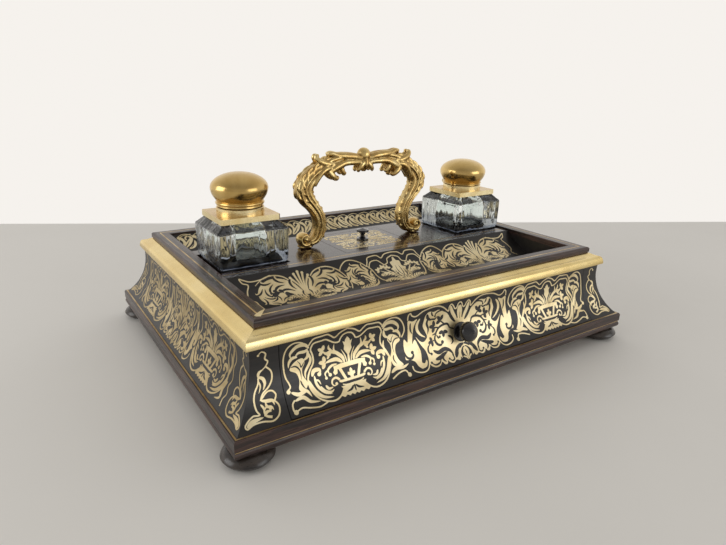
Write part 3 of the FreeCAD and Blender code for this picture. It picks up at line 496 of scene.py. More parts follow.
def cartouche():
    """The left half of the cartouche: a bracket, a three-tipped leaf and sprays. Its middle is at x = 0."""
    p = Pattern()
    p.stroke([(-26.6, 39), (-24.6, 41.6), (-22.6, 42.9), (-18, 43.2), (-14, 43.4), (-11.6, 42),
              (-8.8, 40.2), (-5, 42.6), (0, 44.3)], 0.95)
    p.stroke([(-25.4, 36), (-24.6, 38.2), (-22.8, 39.9), (-18.5, 40.2), (-15, 40.3), (-12, 38.6),
              (-8.9, 36.9), (-6, 36.8), (-4.9, 38.6), (-3, 40.6), (0, 41.4)], 0.95)
    p.stroke([(-25.4, 36), (-24.2, 32.5), (-24.3, 28), (-27.4, 23.4), (-29.2, 18.6), (-28.4, 12.6),
              (-25, 7), (-20.4, 3.9), (-15, 2.9), (-10.4, 4.8), (-7, 8.8)], 1.05)
    p.leaf([(-29, 19), (-26.6, 12), (-22, 7), (-15.4, 5.2)], 2.3)
    p.leaf([(-24.8, 20.5), (-24.2, 14.6), (-20.4, 9.2), (-15.8, 7.2)], 1.7)
    p.leaf([(-22.2, 13.4), (-20, 9.8), (-16.4, 8.4), (-14, 9.4)], 1.7)
    p.leaf([(-18.8, 13), (-17.2, 10.6), (-14.2, 10.8)], 1.6)
    p.leaf([(-26.2, 20), (-24.6, 23.2), (-21, 23), (-20.4, 20.6)], 2.6)
    p.dot(-21.4, 20.4, 1.3)
    p.leaf([(-24.6, 17.6), (-22.6, 16.8), (-21.6, 14.2)], 1.1)
    p.curl(-12.2, 12.6, 3.6, 20, 300, 1.5)
    p.stroke([(-8.9, 13.4), (-7.6, 12.6), (0, 12.5)], 1.5)
    p.stroke([(-7.6, 10.6), (-5, 9.8), (0, 9.8)], 0.7)
    p.patch([(-11.4, 22.4), (-6, 23.1), (0, 23.0), (0, 20.3), (-9, 20.1), (-9.4, 17.8), (-11.2, 17.1),
             (-12.2, 18.8), (-11.2, 20.4)], curved=False)
    p.patch([(-8.4, 20.4), (-6.3, 20.4), (-3.5, 13.2), (-5.4, 13.2), (-6.8, 16.6)], curved=False)
    p.patch([(0, 12.6), (-1.1, 13.4), (-1.2, 14.5), (-2.6, 15.2), (-2.5, 16.9), (-1.1, 16.6), (-0.9, 18.2),
             (0, 19.2)], curved=False)
    p.patch([(-0.9, 22.6), (-0.6, 27.4), (-2.8, 31), (-2.4, 33.4), (-3.4, 36.4), (-1.9, 35.6), (-1.5, 37.2),
             (0, 38.8), (0, 22.6)], curved=False)
    p.leaf([(-1.6, 22.8), (-2.4, 27), (-4.8, 31.6)], 0.8)
    p.leaf([(-3.4, 22.8), (-4.2, 26.4), (-7.4, 29.6), (-9.8, 32), (-9.4, 36)], 2.3)
    p.leaf([(-7.6, 29.4), (-11.4, 31.6), (-15.4, 31.4), (-17.6, 33.8)], 2.1)
    p.trefoil(-17.4, 33.6, 150, 3.6)
    p.leaf([(-10.6, 31.6), (-13.2, 34.2), (-13, 36.4)], 1.5)
    p.leaf([(-4.6, 23.4), (-8.4, 26.2), (-12.8, 26.4), (-16.6, 25.6)], 2.4)
    p.trefoil(-16.8, 26.2, 170, 4)
    p.trefoil(-13.2, 29.2, 140, 2.2)
    p.leaf([(-8.6, 23.4), (-12.6, 23.2), (-15.4, 21), (-14.4, 18.2)], 1.5)
    p.dot(-14.4, 18.2, 1.1)
    p.leaf([(-15.4, 21.4), (-17.6, 19.6), (-17.2, 17.2)], 1.1)
    p.dot(-17.3, 16.9, 0.9)
    p.patch([(0, 9.5), (-9, 9.6), (-7.6, 7.4), (-9.2, 6.2), (-10.4, 4.2), (-8.6, 3.0), (-6.6, 4.0),
             (-4.8, 2.9), (-3.2, 3.9), (-1.6, 2.8), (0, 3.8)], curved=False)
    p.leaf([(-0.6, 8.4), (-2.8, 6.4), (-6.4, 5.6)], 1.5, EBONY)
    p.leaf([(0, 9), (0, 6.6), (-0.2, 4.8)], 1.2, EBONY)
    return p


def end_return():
    """The leaf between a cartouche and the middle of the long panel, where its outline rolls back."""
    p = Pattern()
    p.stroke([(0, 39), (2.6, 42.2), (7.5, 43.6), (12.6, 42.4), (16.6, 38), (17.8, 32.6), (15.4, 28.6)], 0.95)
    p.leaf([(0.6, 37.5), (3.4, 40.6), (8.4, 40.6), (12.8, 37), (12.4, 33.4)], 2.5)
    p.leaf([(1.2, 37.4), (3.6, 36.6), (7.4, 36.6), (10, 34)], 1.9)
    p.leaf([(1.4, 36.6), (2.0, 32.6), (5.4, 30.6)], 1.9)
    p.leaf([(8.4, 34), (11.6, 33.8), (13.8, 31.4), (14.2, 28.6)], 1.9)
    p.patch([(10.6, 31.2), (5.6, 32.6), (4.0, 29.6), (6, 26), (6.2, 22), (4.4, 17), (6.4, 11.6), (13, 11),
             (10.4, 15), (9, 20), (10, 24.6), (13.8, 27.2)])
    p.leaf([(13.2, 28.8), (9.8, 28.6), (7.6, 25.4), (7.8, 20)], 1.0, EBONY)
    p.leaf([(4.4, 30), (6.6, 27.4), (7.2, 29.6), (8.8, 31.6)], 0.8, EBONY)
    p.leaf([(7.2, 19), (6.6, 16), (8.4, 12.6)], 1.0, EBONY)
    p.leaf([(1, 30), (0.6, 25), (4, 18), (3.4, 12)], 1.5)
    p.stroke([(2, 4.4), (8, 6.8), (13, 7.2), (14.6, 4.6)], 1)
    p.dot(15.2, 3.8, 1.5)
    p.leaf([(2.4, 8.2), (7, 10.2), (12.4, 9.6), (17, 10.8)], 2.5)
    return p


def middle_half():
    """The left half of the middle of a long panel: brass with ebony leaves. Its middle is at x = 0."""
    p = Pattern()
    p.stroke([(-45.7, 38.7), (-45.4, 42), (-43.7, 43.3), (-42.2, 41.2), (-38.5, 40.2), (-32.8, 42.7),
              (-25, 43.9), (-19.3, 43.5), (-14.7, 41.4), (-10.4, 38), (-9.8, 41), (-8, 42.6), (-6, 41),
              (-4.6, 38.8), (-3, 38.8), (-1.6, 41.8), (0, 42.8)], 0.9)
    p.patch([(-45.5, 38.3), (-41.6, 37.2), (-37.8, 38), (-40.6, 33.4), (-42.2, 27.5), (-43, 22.2),
             (-40.7, 24.6), (-38.6, 19.8), (-37.6, 15.6), (-38.4, 11), (-38.8, 8.8), (-36.8, 7.8),
             (-34.7, 9.6), (-34.8, 6), (-38.4, 4), (-42, 6.6), (-44, 10.6), (-47.4, 12.6), (-50.6, 13.4),
             (-50.3, 17), (-50.3, 22.2), (-49.3, 26.6), (-46.8, 24), (-46, 28.8), (-45.6, 33.4)])
    p.hook([(-50.8, 19), (-49.4, 14.8), (-46.3, 13.2), (-44, 14.8), (-44.4, 16.8)], 1.8, EBONY)
    p.leaf([(-43.4, 36.6), (-43.6, 32), (-42.2, 28.6)], 1.4, EBONY)
    p.hook([(-33.8, 8.6), (-35.8, 5), (-40.4, 4.2), (-44, 6), (-44.2, 8.6)], 1.3, EBONY)
    p.stroke([(-47, 8.4), (-46.6, 5.2), (-43, 3), (-38.5, 2.4), (-35, 4), (-33, 7.6)], 0.9)
    p.leaf([(-35.3, 37.8), (-37.8, 34.5), (-38, 30.6), (-35.5, 26.8), (-31.6, 24.1)], 2.2)
    p.patch([(-27.4, 41), (-30.5, 39.1), (-32, 35.6), (-33, 31.8), (-31.2, 27.6), (-30.2, 24),
             (-33.5, 21.4), (-36.6, 22.6), (-39.6, 26), (-36.2, 19.8), (-33.6, 15.5), (-32.8, 11),
             (-33.4, 7.2), (-32, 4.4), (-28.9, 2.8), (-25.2, 3.2), (-22.8, 5.2), (-21.2, 3), (-18.9, 3),
             (-17.8, 4.8), (-16.2, 3), (-13.5, 2.2), (-10.5, 3.6), (-7.8, 2.6), (-5, 4.4), (-2, 3),
             (0, 3.4), (0, 30.4), (-4.6, 29), (-8, 31.6), (-11.2, 36.4), (-15.4, 39), (-19.4, 40.8),
             (-23.8, 40.2)])
    p.leaf([(-29.4, 39.8), (-28.4, 36.4), (-25.2, 34.6)], 2.5, EBONY)
    p.leaf([(-25.6, 40.6), (-25, 38.4), (-23.6, 37.2)], 1.4, EBONY)
    p.hook([(-14, 39.8), (-18.6, 39.8), (-21.6, 38.6), (-22.4, 36.8)], 1.2, EBONY)
    p.trefoil(-17.6, 33, 130, 4.3, EBONY)
    p.trefoil(-23.4, 29.6, 170, 4.4, EBONY)
    p.trefoil(-15.8, 24.8, 265, 4.2, EBONY)
    p.trefoil(-26.6, 20.2, 190, 3.6, EBONY)
    p.hook([(-28.4, 19.4), (-31, 16.6), (-31.2, 13.6), (-29.4, 12.2)], 1.4, EBONY)
    p.stroke([(-5.8, 24.5), (-9.7, 26.2), (-11.4, 29), (-15, 29.4), (-19.6, 28), (-22.6, 25),
              (-25.6, 24.2)], 1.7, swell, EBONY)
    p.stroke([(-17.6, 32.6), (-15.6, 30.8), (-13, 29)], 1.1, even, EBONY)
    p.stroke([(-24, 29), (-21.4, 28.6), (-19, 28)], 1.1, even, EBONY)
    p.leaf([(-27.6, 37.4), (-29.6, 33.4), (-28.6, 29.2), (-29.6, 25.6)], 1.9, EBONY)
    p.leaf([(-12.4, 21), (-9.6, 19.4), (-8.8, 16.4), (-11.4, 14.6)], 1.8, EBONY)
    p.leaf([(-26, 35.6), (-22.6, 34.8), (-20.6, 36.4)], 1.4, EBONY)
    p.hook([(-21.6, 25.8), (-24, 21.4), (-22.8, 17.6), (-19.7, 16.2), (-18, 17.8)], 1.9, EBONY)
    p.hook([(-22, 23.6), (-20.8, 21.4), (-19.4, 21.8)], 1.4, EBONY)
    p.stroke([(-26.4, 20.2), (-24, 20.6)], 0.8, even, EBONY)
    p.leaf([(-27.4, 14.2), (-23.4, 11.8), (-17.5, 12.9), (-13, 10.4), (-11.4, 6.4)], 3, EBONY)
    p.hook([(-12.6, 8), (-11.8, 5), (-14, 3.8), (-16, 5.6)], 1.2, EBONY)
    p.leaf([(-27.6, 7.8), (-23, 8.2), (-19, 9.8), (-15.6, 10.8)], 3, EBONY)
    p.leaf([(-20.6, 9.4), (-21, 6.4), (-19.2, 4.2)], 1.7, EBONY)
    p.hook([(-22.8, 7.6), (-25, 5), (-29, 4.5), (-31.4, 6.6)], 1.3, EBONY)
    p.leaf([(-10.2, 4.8), (-7.4, 9.4), (-3.4, 12.4), (0.6, 13)], 3.6, EBONY)
    p.patch([(-6.6, 3.6), (-3.4, 9.6), (0, 10.8), (0, 3.6), (-3, 4.6)], EBONY)
    p.leaf([(-4, 10.6), (-5.8, 7.4), (-5.2, 3.4)], 2.2)
    p.leaf([(0, 10.6), (-1.6, 7), (0, 3.2)], 2.2)
    p.leaf([(-8.6, 41.6), (-7, 37), (-3.6, 31), (-2.4, 26)], 2.7)
    p.leaf([(-0.6, 40.6), (-1.2, 35.4), (-0.6, 29)], 2.3)
    return p


def long_panel():
    """The drawer's panel, 274 mm long: its middle is at x = 0."""
    half = Pattern()
    half.place(end_flame(), -134.6)
    half.place(cartouche(), -92)
    half.place(cartouche(), -92, flip=True)
    half.place(end_return(), -66.4)
    half.place(middle_half())
    return mirrored(half)


def corner_vine():
    """The vine on the panel beside each corner, 22 mm wide at its foot: the corner is on the left."""
    p = Pattern()
    p.stroke([(6, 8.7), (2.8, 7), (0.2, 4.6), (1, 2.8), (5, 4.2), (10.6, 4.2), (16, 3), (20, 4.8),
              (21.7, 8.1), (21.4, 11.4), (18.6, 14.4), (15, 15)], 0.95)
    p.leaf([(1.0, 3.6), (5.2, 5.8), (11.4, 6.4)], 2.6)
    p.stroke([(6, 8.7), (9.6, 8.2), (8.4, 11), (8.2, 15.9), (9.4, 20.3), (12.2, 24.8), (12.8, 28.1)], 0.95)
    p.leaf([(12.4, 28.8), (15.4, 27.2), (16.2, 24), (14.6, 20.8)], 2.0)
    p.leaf([(12.8, 26.4), (13.4, 23.2), (11.8, 19.6)], 0.9)
    p.leaf([(12.8, 28.4), (13.6, 31), (16.4, 32.4)], 1.6)
    p.hook([(14.6, 31.4), (17.8, 33.7), (19.4, 36.4), (17.8, 38.3), (18.3, 41.4), (15.8, 43),
            (13.9, 41.2)], 1)
    p.stroke([(17.8, 33.7), (20.8, 30.3), (20.8, 25.9), (18.3, 22), (13.9, 18.8), (12, 15.4)], 0.95)
    p.stroke([(12.4, 16), (16.4, 19.2), (19.6, 19.2), (21.4, 16.6), (20.2, 13.8)], 0.95)
    p.curl(15.6, 9.4, 4.2, -80, -250, 1.5)
    p.leaf([(12, 15.6), (15.4, 14.4), (18.6, 13.8), (19.4, 11)], 1.9)
    p.leaf([(14.4, 14), (15, 11.4), (17.4, 10.6), (18.2, 8.6)], 1.6)
    p.leaf([(11.4, 13.6), (12.8, 10.8), (12.4, 7.4)], 1.3)
    p.leaf([(12.2, 6.6), (14.2, 8.8), (17, 8.4)], 1.7)
    return p


def tray_scroll():
    """A leafy scroll that grows out of a palmette at x = 0 and winds in on its left."""
    p = Pattern()
    p.stroke([(-1.4, 7), (-5, 18), (-11, 26.6), (-19, 29.6), (-27, 28.6), (-34, 24)], 1.0, swell)
    p.stroke([(-1, 5), (-3.2, 13), (-7.6, 21), (-12.6, 25.4)], 1.2, swell)
    p.plume([(-3, 5), (-7.4, 14), (-13.8, 20.8), (-21.8, 22.6), (-28.6, 19.4), (-31, 13), (-27.4, 7),
             (-21, 7), (-18.4, 12)], 10.6, 8, fade=0.44)
    p.plume([(-2.4, 2.6), (-7, 7), (-12, 8.4), (-16, 6)], 4.6, 6)
    p.plume([(-3, 0.8), (-8, 1.8), (-14, 1.6), (-19, 2.6)], 3.4, 6)
    return p


def tray_panel():
    """The panel on a slope of the front tray, 258 mm by 33 mm: its middle is at x = 0, its top at y = 33."""
    half = Pattern()
    palmette = -84
    half.place(tray_scroll(), palmette)
    half.place(tray_scroll(), palmette, flip=True)
    half.stroke([(-105, 30.2), (-112, 28.2), (-120, 27.8), (-124.4, 29.6), (-127.4, 31.2), (-126, 27.6),
                 (-122.6, 25.4), (-125, 20), (-125.8, 14), (-122, 9), (-124.4, 4)], 0.9)
    for lean, rise in ((0, 29.4), (-3.4, 28), (3.4, 28), (-7, 25.4), (7, 25.4)):
        ray = [(palmette + 0.1 * lean, 8), (palmette + 0.4 * lean, 18), (palmette + lean, rise)]
        half.stroke(ray, 1.7, widening)
        half.dot(palmette + lean, rise, 1.1)
    half.stroke([(-61, 29.8), (-55, 27.4), (-50.4, 23), (-47.6, 17), (-47.4, 10), (-50, 4)], 0.8)
    half.stroke([(-51, 23), (-48, 27.4), (-42.4, 31), (-36, 30.4), (-30, 27), (-26.6, 23)], 0.9)
    half.plume([(-31, 6.6), (-29.6, 14), (-32.4, 21), (-38.2, 23.4), (-43, 19.6), (-43.8, 12.4),
                (-39.8, 7.8)], 9.4, 7, fade=0.46)
    half.plume([(-44, 1.8), (-38, 2), (-32.4, 4.2), (-28, 9), (-26.6, 15)], 4.6, 8)
    half.leaf([(-37, 0.8), (-31, 1.6), (-26.4, 4.6), (-24.4, 9)], 1.8)
    half.stroke([(-26.6, 24), (-23.6, 19), (-22.8, 12), (-20.6, 6.4), (-16, 2.6)], 0.9)
    half.stroke([(-26.6, 23), (-24.4, 27), (-22.4, 30.6), (-14.4, 31.2), (-10.6, 28.4), (-6.4, 31.2),
                 (0, 32)], 0.9)
    half.stroke([(-25.4, 21), (-21.8, 26.4), (-15.6, 27), (-12.6, 24.2), (-10.6, 22), (-7, 23.2),
                 (-5.4, 27), (-1, 28.8), (0, 28.9)], 0.9)
    half.patch([(0, 1), (-4, 4), (-7.4, 9.4), (-4.8, 12.4), (-7, 16.4), (-4.4, 18.4), (-4.6, 23),
                (-1.8, 24.2), (0, 26.6)])
    half.plume([(-1, 4), (-6, 10), (-12, 12.6), (-18, 12)], 5.6, 6)
    half.plume([(-2, 1.6), (-9, 4.4), (-14, 5.6), (-19, 4.4)], 4.6, 6)
    for x, y, angle in ((-18.4, 17.4, 150), (-13.8, 19.4, 110), (-9.8, 18.2, 80)):
        half.trefoil(x, y, angle, 3.2)
    half.leaf([(-7, 11), (-10, 15), (-13.4, 18.8)], 1.1)
    half.leaf([(-7, 9.6), (-12.6, 13.4), (-17.6, 17)], 1.1)
    half.leaf([(0, 7), (-1.8, 13), (-1.4, 20)], 0.8, EBONY)
    half.leaf([(-1.4, 4.6), (-4.2, 10), (-3.4, 16)], 0.7, EBONY)
    return mirrored(half)


def side_panel():
    """The panel on each side, 252 mm long: its middle is at x = 0."""
    half = Pattern()
    half.place(corner_vine(), -126)
    half.stroke([(-98.4, 3), (-97, 7), (-98.4, 11), (-96.4, 15), (-98.2, 20), (-96.2, 26), (-98, 32),
                 (-96.4, 38), (-92.6, 42.6), (-88, 42)], 0.9)
    half.leaf([(-88.4, 40), (-94, 38), (-93.4, 31), (-95, 26)], 2.6)
    half.leaf([(-90, 33), (-93.4, 27), (-91.6, 20), (-93.6, 14)], 2.4)
    half.leaf([(-94, 17), (-91.6, 11), (-93, 6), (-88, 3.6)], 2.2)
    half.place(cartouche(), -62.7)
    half.place(cartouche(), -62.7, flip=True)
    half.place(middle_half(), across=0.7)
    cuts = [
        [(-1.4, 13), (-2.8, 18), (-6.6, 22.4)], [(-3.4, 13), (-7.4, 16.4), (-11.6, 17)],
        [(-0.6, 16), (-0.8, 21), (-2.8, 26)], [(-20, 36.6), (-16.6, 31), (-19.4, 24)],
        [(-20.6, 21), (-18, 16), (-20, 11)],
    ]
    for cut in cuts:
        half.leaf(cut, 1.7, EBONY)
    return mirrored(half)


def tray_border():
    """The band of leaves along the back tray, 262 mm long and 17 mm high: its middle is at x = 0."""
    half = Pattern()
    half.stroke([(-131, 2), (-131.4, 9), (-128.6, 15), (-120, 16.4)], 0.6)
    for k in range(10):
        x = -124 + 13 * k
        half.stroke([(x - 7.6, 14.6), (x - 3.6, 16.8), (x + 1, 16.6), (x + 5, 14.8)], 0.6)
        half.leaf([(x - 6.6, 1), (x - 3.4, 4.4), (x + 0.6, 8), (x + 3.6, 12.4), (x + 1.2, 14.8)], 4.4)
        half.leaf([(x - 8.4, 14.4), (x - 5, 12.6), (x - 3.2, 8.6), (x - 5.4, 3.6)], 3.2)
        half.leaf([(x - 1.2, 0.8), (x + 3, 2.8), (x + 5.6, 6.6), (x + 5.8, 10)], 3.0)
        half.leaf([(x - 0.4, 15), (x - 1.4, 12.6), (x - 0.2, 10.8)], 1.5)
        half.dot(x + 0.2, 14.6, 0.9)
        half.leaf([(x - 5.4, 2), (x - 1.6, 5.8), (x + 1.6, 10)], 0.9, EBONY)
        half.leaf([(x - 6.6, 12.4), (x - 4.6, 9.4), (x - 5.2, 6)], 0.7, EBONY)
        half.leaf([(x + 0.6, 1.8), (x + 3.4, 4.4), (x + 4.8, 8)], 0.7, EBONY)
    return mirrored(half)


def lid_panel():
    """The scrollwork on the compartment lid, 56 mm by 44 mm about its middle."""
    quarter = Pattern()
    quarter.plume([(-0.6, 3), (-8, 3.2), (-16.4, 3.4), (-22.6, 6), (-24.6, 11), (-21, 14.6), (-17, 12.6),
                   (-17.6, 9.4)], 4.4, 18)
    quarter.plume([(-1.2, 20), (-6.4, 19), (-10.4, 15.4), (-9, 10.6), (-5, 9.6), (-3.4, 13)], 3.8, 12)
    quarter.plume([(-8, 20.4), (-14, 19.2), (-20, 19.6), (-26, 18.6), (-27.4, 13)], 3.4, 12)
    quarter.plume([(-10, 5.4), (-13.4, 9), (-13, 13), (-14.4, 17)], 3.0, 6)
    quarter.leaf([(-6.4, 0.7), (-11, 1.3), (-17, 0.9)], 1.5)
    quarter.leaf([(-18, 0.8), (-21.6, 2.6), (-26.4, 2.2)], 1.7)
    quarter.trefoil(-26, 4.4, 130, 2.6)
    quarter.leaf([(0, 8.8), (-1.3, 13), (0, 18.4)], 1.5)
    quarter.trefoil(-20.6, 10.6, 200, 2.4)
    quarter.trefoil(-6.2, 14.6, 60, 2.4)
    quarter.trefoil(-2.2, 6.8, 90, 2.4)
    half = mirrored(quarter)
    whole = Pattern()
    whole.place(half)
    whole.place(half, up=-1)
    return whole


# ---------------------------------------------------------------- laying the brass
LIFT, SINK = 0.07, 0.12  # mm above and below the ebony
ROW = 2.5  # mm between the lines along which a curved sheet may bend
SHEET_MARGIN = 1
WHOLE_SHEET, WELD = 0, 1e-4  # how the sheet is cut into triangles


def corners_of(*names):
    """The lowest and highest corner of a few CAD nodes together, in millimetres."""
    boxes = [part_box(n) for n in names]
    low = [min(b[0][i] for b in boxes) / MM for i in range(3)]
    high = [max(b[1][i] for b in boxes) / MM for i in range(3)]
    return low, high


def centre_between(foot, waist, radius):
    """The centre of an arc through two points of a section, on its outer side."""
    half = ((waist[0] - foot[0]) / 2, (waist[1] - foot[1]) / 2)
    length = math.hypot(*half)
    away = math.sqrt(radius**2 - length**2) / length
    return foot[0] + half[0] + half[1] * away, foot[1] + half[1] - half[0] * away


def hollow(centre, radius, start, turn, place, aim):
    """A hollow surface(u, v). It faces along the angle start where v is 0, and turns by turn's sign."""

    def surface(u, v):
        angle = start + turn * v / radius
        out, up = math.cos(angle), math.sin(angle)
        return Vector(place(u, centre[0] - radius * out, centre[1] - radius * up)), Vector(aim(out, up))

    return surface


def lay(name, pattern, body, surface, material=inlay):
    """Cuts a pattern's brass out of a sheet and lays it: surface(u, v) gives a point and the way it faces."""
    verts, faces, tones = [], [], []
    for tone, outline in pattern.shapes:
        faces.append(list(range(len(verts), len(verts) + len(outline))))
        verts += [Vector(p) for p in outline]
        tones.append(tone)
    low_u, high_u = min(p.x for p in verts) - SHEET_MARGIN, max(p.x for p in verts) + SHEET_MARGIN
    low_v, high_v = min(p.y for p in verts), max(p.y for p in verts)
    rows = []
    for k in range(1, math.ceil((high_v - low_v) / ROW)):
        rows.append((len(verts), len(verts) + 1))
        verts += [Vector((low_u, low_v + k * ROW)), Vector((high_u, low_v + k * ROW))]
    cut = geometry.delaunay_2d_cdt(verts, rows, faces, WHOLE_SHEET, WELD, True)
    points, triangles, owners = cut[0], cut[2], cut[5]
    kept = [tuple(t) for t, own in zip(triangles, owners) if own and tones[max(own)] == BRASS]
    edges = dict.fromkeys(edge for a, b, c in kept for edge in ((a, b), (b, c), (c, a)))
    rim = [edge for edge in edges if edge[::-1] not in edges]

    def at(i, height):
        point, facing = surface(points[i].x, points[i].y)
        return (point + facing * height) * MM

    used = sorted({i for t in kept for i in t})
    index = {i: k for k, i in enumerate(used)}
    places = [at(i, LIFT) for i in used]
    polygons = [tuple(index[i] for i in t) for t in kept]
    flat_from = len(polygons)
    for a, b in rim:
        start = len(places)
        places += [at(a, LIFT), at(b, LIFT), at(b, -SINK), at(a, -SINK)]
        polygons.append((start + 1, start, start + 3, start + 2))
    piece = new_piece(name, places, polygons, material)
    piece.data.polygons.foreach_set("use_smooth", [k < flat_from for k in range(len(polygons))])
    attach(piece, body)


# ---------------------------------------------------------------- the faces and what is laid on them
frame_high = corners_of("frame_rail_left", "frame_rail_right", "frame_rail_front", "frame_rail_back")[1]
HALF_WIDTH, HALF_DEPTH = frame_high[0], frame_high[1]
foot_out = corners_of("side_panel_right")[1][0] - HALF_WIDTH
foot_up = corners_of("plinth_front")[1][2]
WAIST_OUT, DRAWER_PLAY = 6.07, 0.02
waist_up = corners_of("brass_moulding_front")[0][2]
SIDE_RADIUS = 51.7
side_centre = centre_between((foot_out, foot_up), (WAIST_OUT, waist_up), SIDE_RADIUS)
side_start = math.asin((side_centre[1] - foot_up) / SIDE_RADIUS)

# How each face sets a point that is given along it, out from it and up, and how it aims a direction.
FACES = {
    "front": (lambda u, out, up: (u, -HALF_DEPTH - out, up), lambda out, up: (0, -out, up)),
    "back": (lambda u, out, up: (-u, HALF_DEPTH + out, up), lambda out, up: (0, out, up)),
    "left": (lambda u, out, up: (-HALF_WIDTH - out, -u, up), lambda out, up: (-out, 0, up)),
    "right": (lambda u, out, up: (HALF_WIDTH + out, u, up), lambda out, up: (out, 0, up)),
}
sides = {
    face: hollow(side_centre, SIDE_RADIUS, side_start, -1, place, aim) for face, (place, aim) in FACES.items()
}
drawer_low, drawer_high = corners_of("drawer_front")
drawer_foot = (-drawer_low[1] - HALF_DEPTH, drawer_low[2])
drawer_centre = centre_between(drawer_foot, (WAIST_OUT - DRAWER_PLAY, drawer_high[2]), SIDE_RADIUS)
drawer_start = math.asin((drawer_centre[1] - drawer_foot[1]) / SIDE_RADIUS)
drawer_face = hollow(drawer_centre, SIDE_RADIUS, drawer_start, -1, *FACES["front"])

# Where each pen tray starts and ends along Y, and how deep it is.
TRAYS = {
    "front_pen_tray": (corners_of("frame_rail_front")[1][1], corners_of("deck_strip_front")[0][1], 16.0),
    "back_pen_tray": (corners_of("deck_strip_back")[1][1], corners_of("frame_rail_back")[0][1], 13.6),
}


def tray_slope(name, toward):
    """One slope of a pen tray, and its length: toward is 1 for the slope that faces the front."""
    rim_low, rim_high, depth = TRAYS[name]
    half = (rim_high - rim_low) / 2
    radius = (half**2 + depth**2) / (2 * depth)
    centre = ((rim_low + rim_high) / 2, corners_of(name)[1][2] - depth + radius)
    surface = hollow(
        centre, radius, math.pi / 2, toward,
        lambda u, out, up: (toward * u, out, up), lambda out, up: (0, out, up),
    )
    return surface, radius * math.asin(half / radius)


def raised(pattern, rise):
    """A pattern moved up its surface."""
    moved = Pattern()
    moved.place(pattern, y=rise)
    return moved


DRAWER_DROP = 0.3
lay("drawer_marquetry", raised(long_panel(), -DRAWER_DROP), "drawer", drawer_face)
lay("back_marquetry", long_panel(), "case", sides["back"])
# The side panels take the darker copy of the inlay: painted shade.
for face in ("left", "right"):
    lay(f"{face}_marquetry", side_panel(), "case", sides[face], shaded_inlay)
POST_OVERHANG = 14.4
corner = Pattern()
corner.place(corner_vine(), x=-HALF_WIDTH - POST_OVERHANG)
posts = mirrored(corner)
lay("post_marquetry", posts, "case", sides["front"])
lay("back_post_marquetry", posts, "case", sides["back"])

PANEL_HEIGHT, BORDER_HEIGHT = 33.4, 17.6
for toward, label in ((1, "far"), (-1, "near")):
    slope, length = tray_slope("front_pen_tray", toward)
    lay(f"front_tray_marquetry_{label}", raised(tray_panel(), length - PANEL_HEIGHT), "case", slope)
    slope, length = tray_slope("back_pen_tray", toward)
    lay(f"back_tray_marquetry_{label}", raised(tray_border(), length - BORDER_HEIGHT), "case", slope)


def flat(x, y, z):
    """A level surface that faces up from a place."""
    return lambda u, v: (Vector((u + x, y + v, z)), Vector((0, 0, 1)))


lid_low, lid_high = corners_of("compartment_lid")
lay("lid_marquetry", lid_panel(), "compartment_lid", flat(0, (lid_low[1] + lid_high[1]) / 2, lid_high[2]))

# A brass wedge fills the mitre of the frame's front left corner, with a line along the rail from its tip.
wedge = Pattern()
wedge.patch(
    [(12.5, 12.5), (8.6, 10.9), (3.3, 6.9), (3.7, 4.9), (5.9, 3.5), (8.4, 6.9), (11, 10.6)], curved=False)
wedge.stroke([(12.2, 12.2), (12.1, 22)], 0.4)
lay("corner_wedge", wedge, "case", flat(-HALF_WIDTH, -HALF_DEPTH, frame_high[2]))


# ---------------------------------------------------------------- the brass moulding
MITRE_GAP = 0.06
MOULDING_SHARP = 40
# The moulding's section, as distances out from the frame and heights.
OGEE = [
    (-2.0, 64.2), (6.07, 64.2), (7.9, 64.25), (8.6, 64.5), (8.9, 65.2), (8.75, 66.4), (8.5, 67.6),
    (8.2, 68.8), (7.7, 69.8), (6.9, 70.5), (5.9, 70.9), (4.8, 71.1), (3.7, 71.4), (2.4, 72.0),
    (1.1, 72.65), (0.0, 73.1), (-2.0, 73.1),
]


def mitred(name, half_length, place):
    """A straight length of moulding round the case, cut at 45 degrees at both ends."""
    count = len(OGEE)
    verts = []
    for end in (-1, 1):
        for out, up in OGEE:
            verts.append(Vector(place(end * (half_length + out - MITRE_GAP), out, up)) * MM)
    faces = [tuple(range(count)), tuple(range(count, 2 * count))[::-1]]
    for i in range(count):
        n = (i + 1) % count
        faces.append((i, i + count, n + count, n))
    piece = new_piece(name, verts, faces, brass)
    soften(piece.data, [len(face) == 4 for face in faces], MOULDING_SHARP)
    return piece


for face, (place, _) in FACES.items():
    half_length = HALF_WIDTH if face in ("front", "back") else HALF_DEPTH
    piece = mitred(f"moulding_{face}", half_length, place)
    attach(piece, "case")
    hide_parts(f"brass_moulding_{face}")


# ---------------------------------------------------------------- the cut glass bottles
CORNER_STEPS = 4
CORNER_ROUND = 0.5
GLASS_SHARP = 35
DEPTH_INSET = 0.96  # of a row's inset, taken off across Y
# The rows of the block: height above its foot, inset from its widest part and cut at its corners.
BLOCK_ROWS = [
    (0.3, 3.0, 1.3), (0.8, 2.5, 1.3), (2.1, 2.2, 1.3), (3.0, 1.1, 1.3), (4.6, 0.4, 1.3), (8, 0.1, 1.3),
    (18, -0.1, 1.3), (27.2, -0.2, 1.3), (28.3, 0.0, 1.3), (29.0, 0.5, 1.3), (29.6, 1.4, 1.3),
    (33.4, 5.3, 1.2), (33.9, 5.9, 1.2),
]
SHADED_FOOT_ROWS = 3  # of the block, which take the dark finish of its underside: painted shade
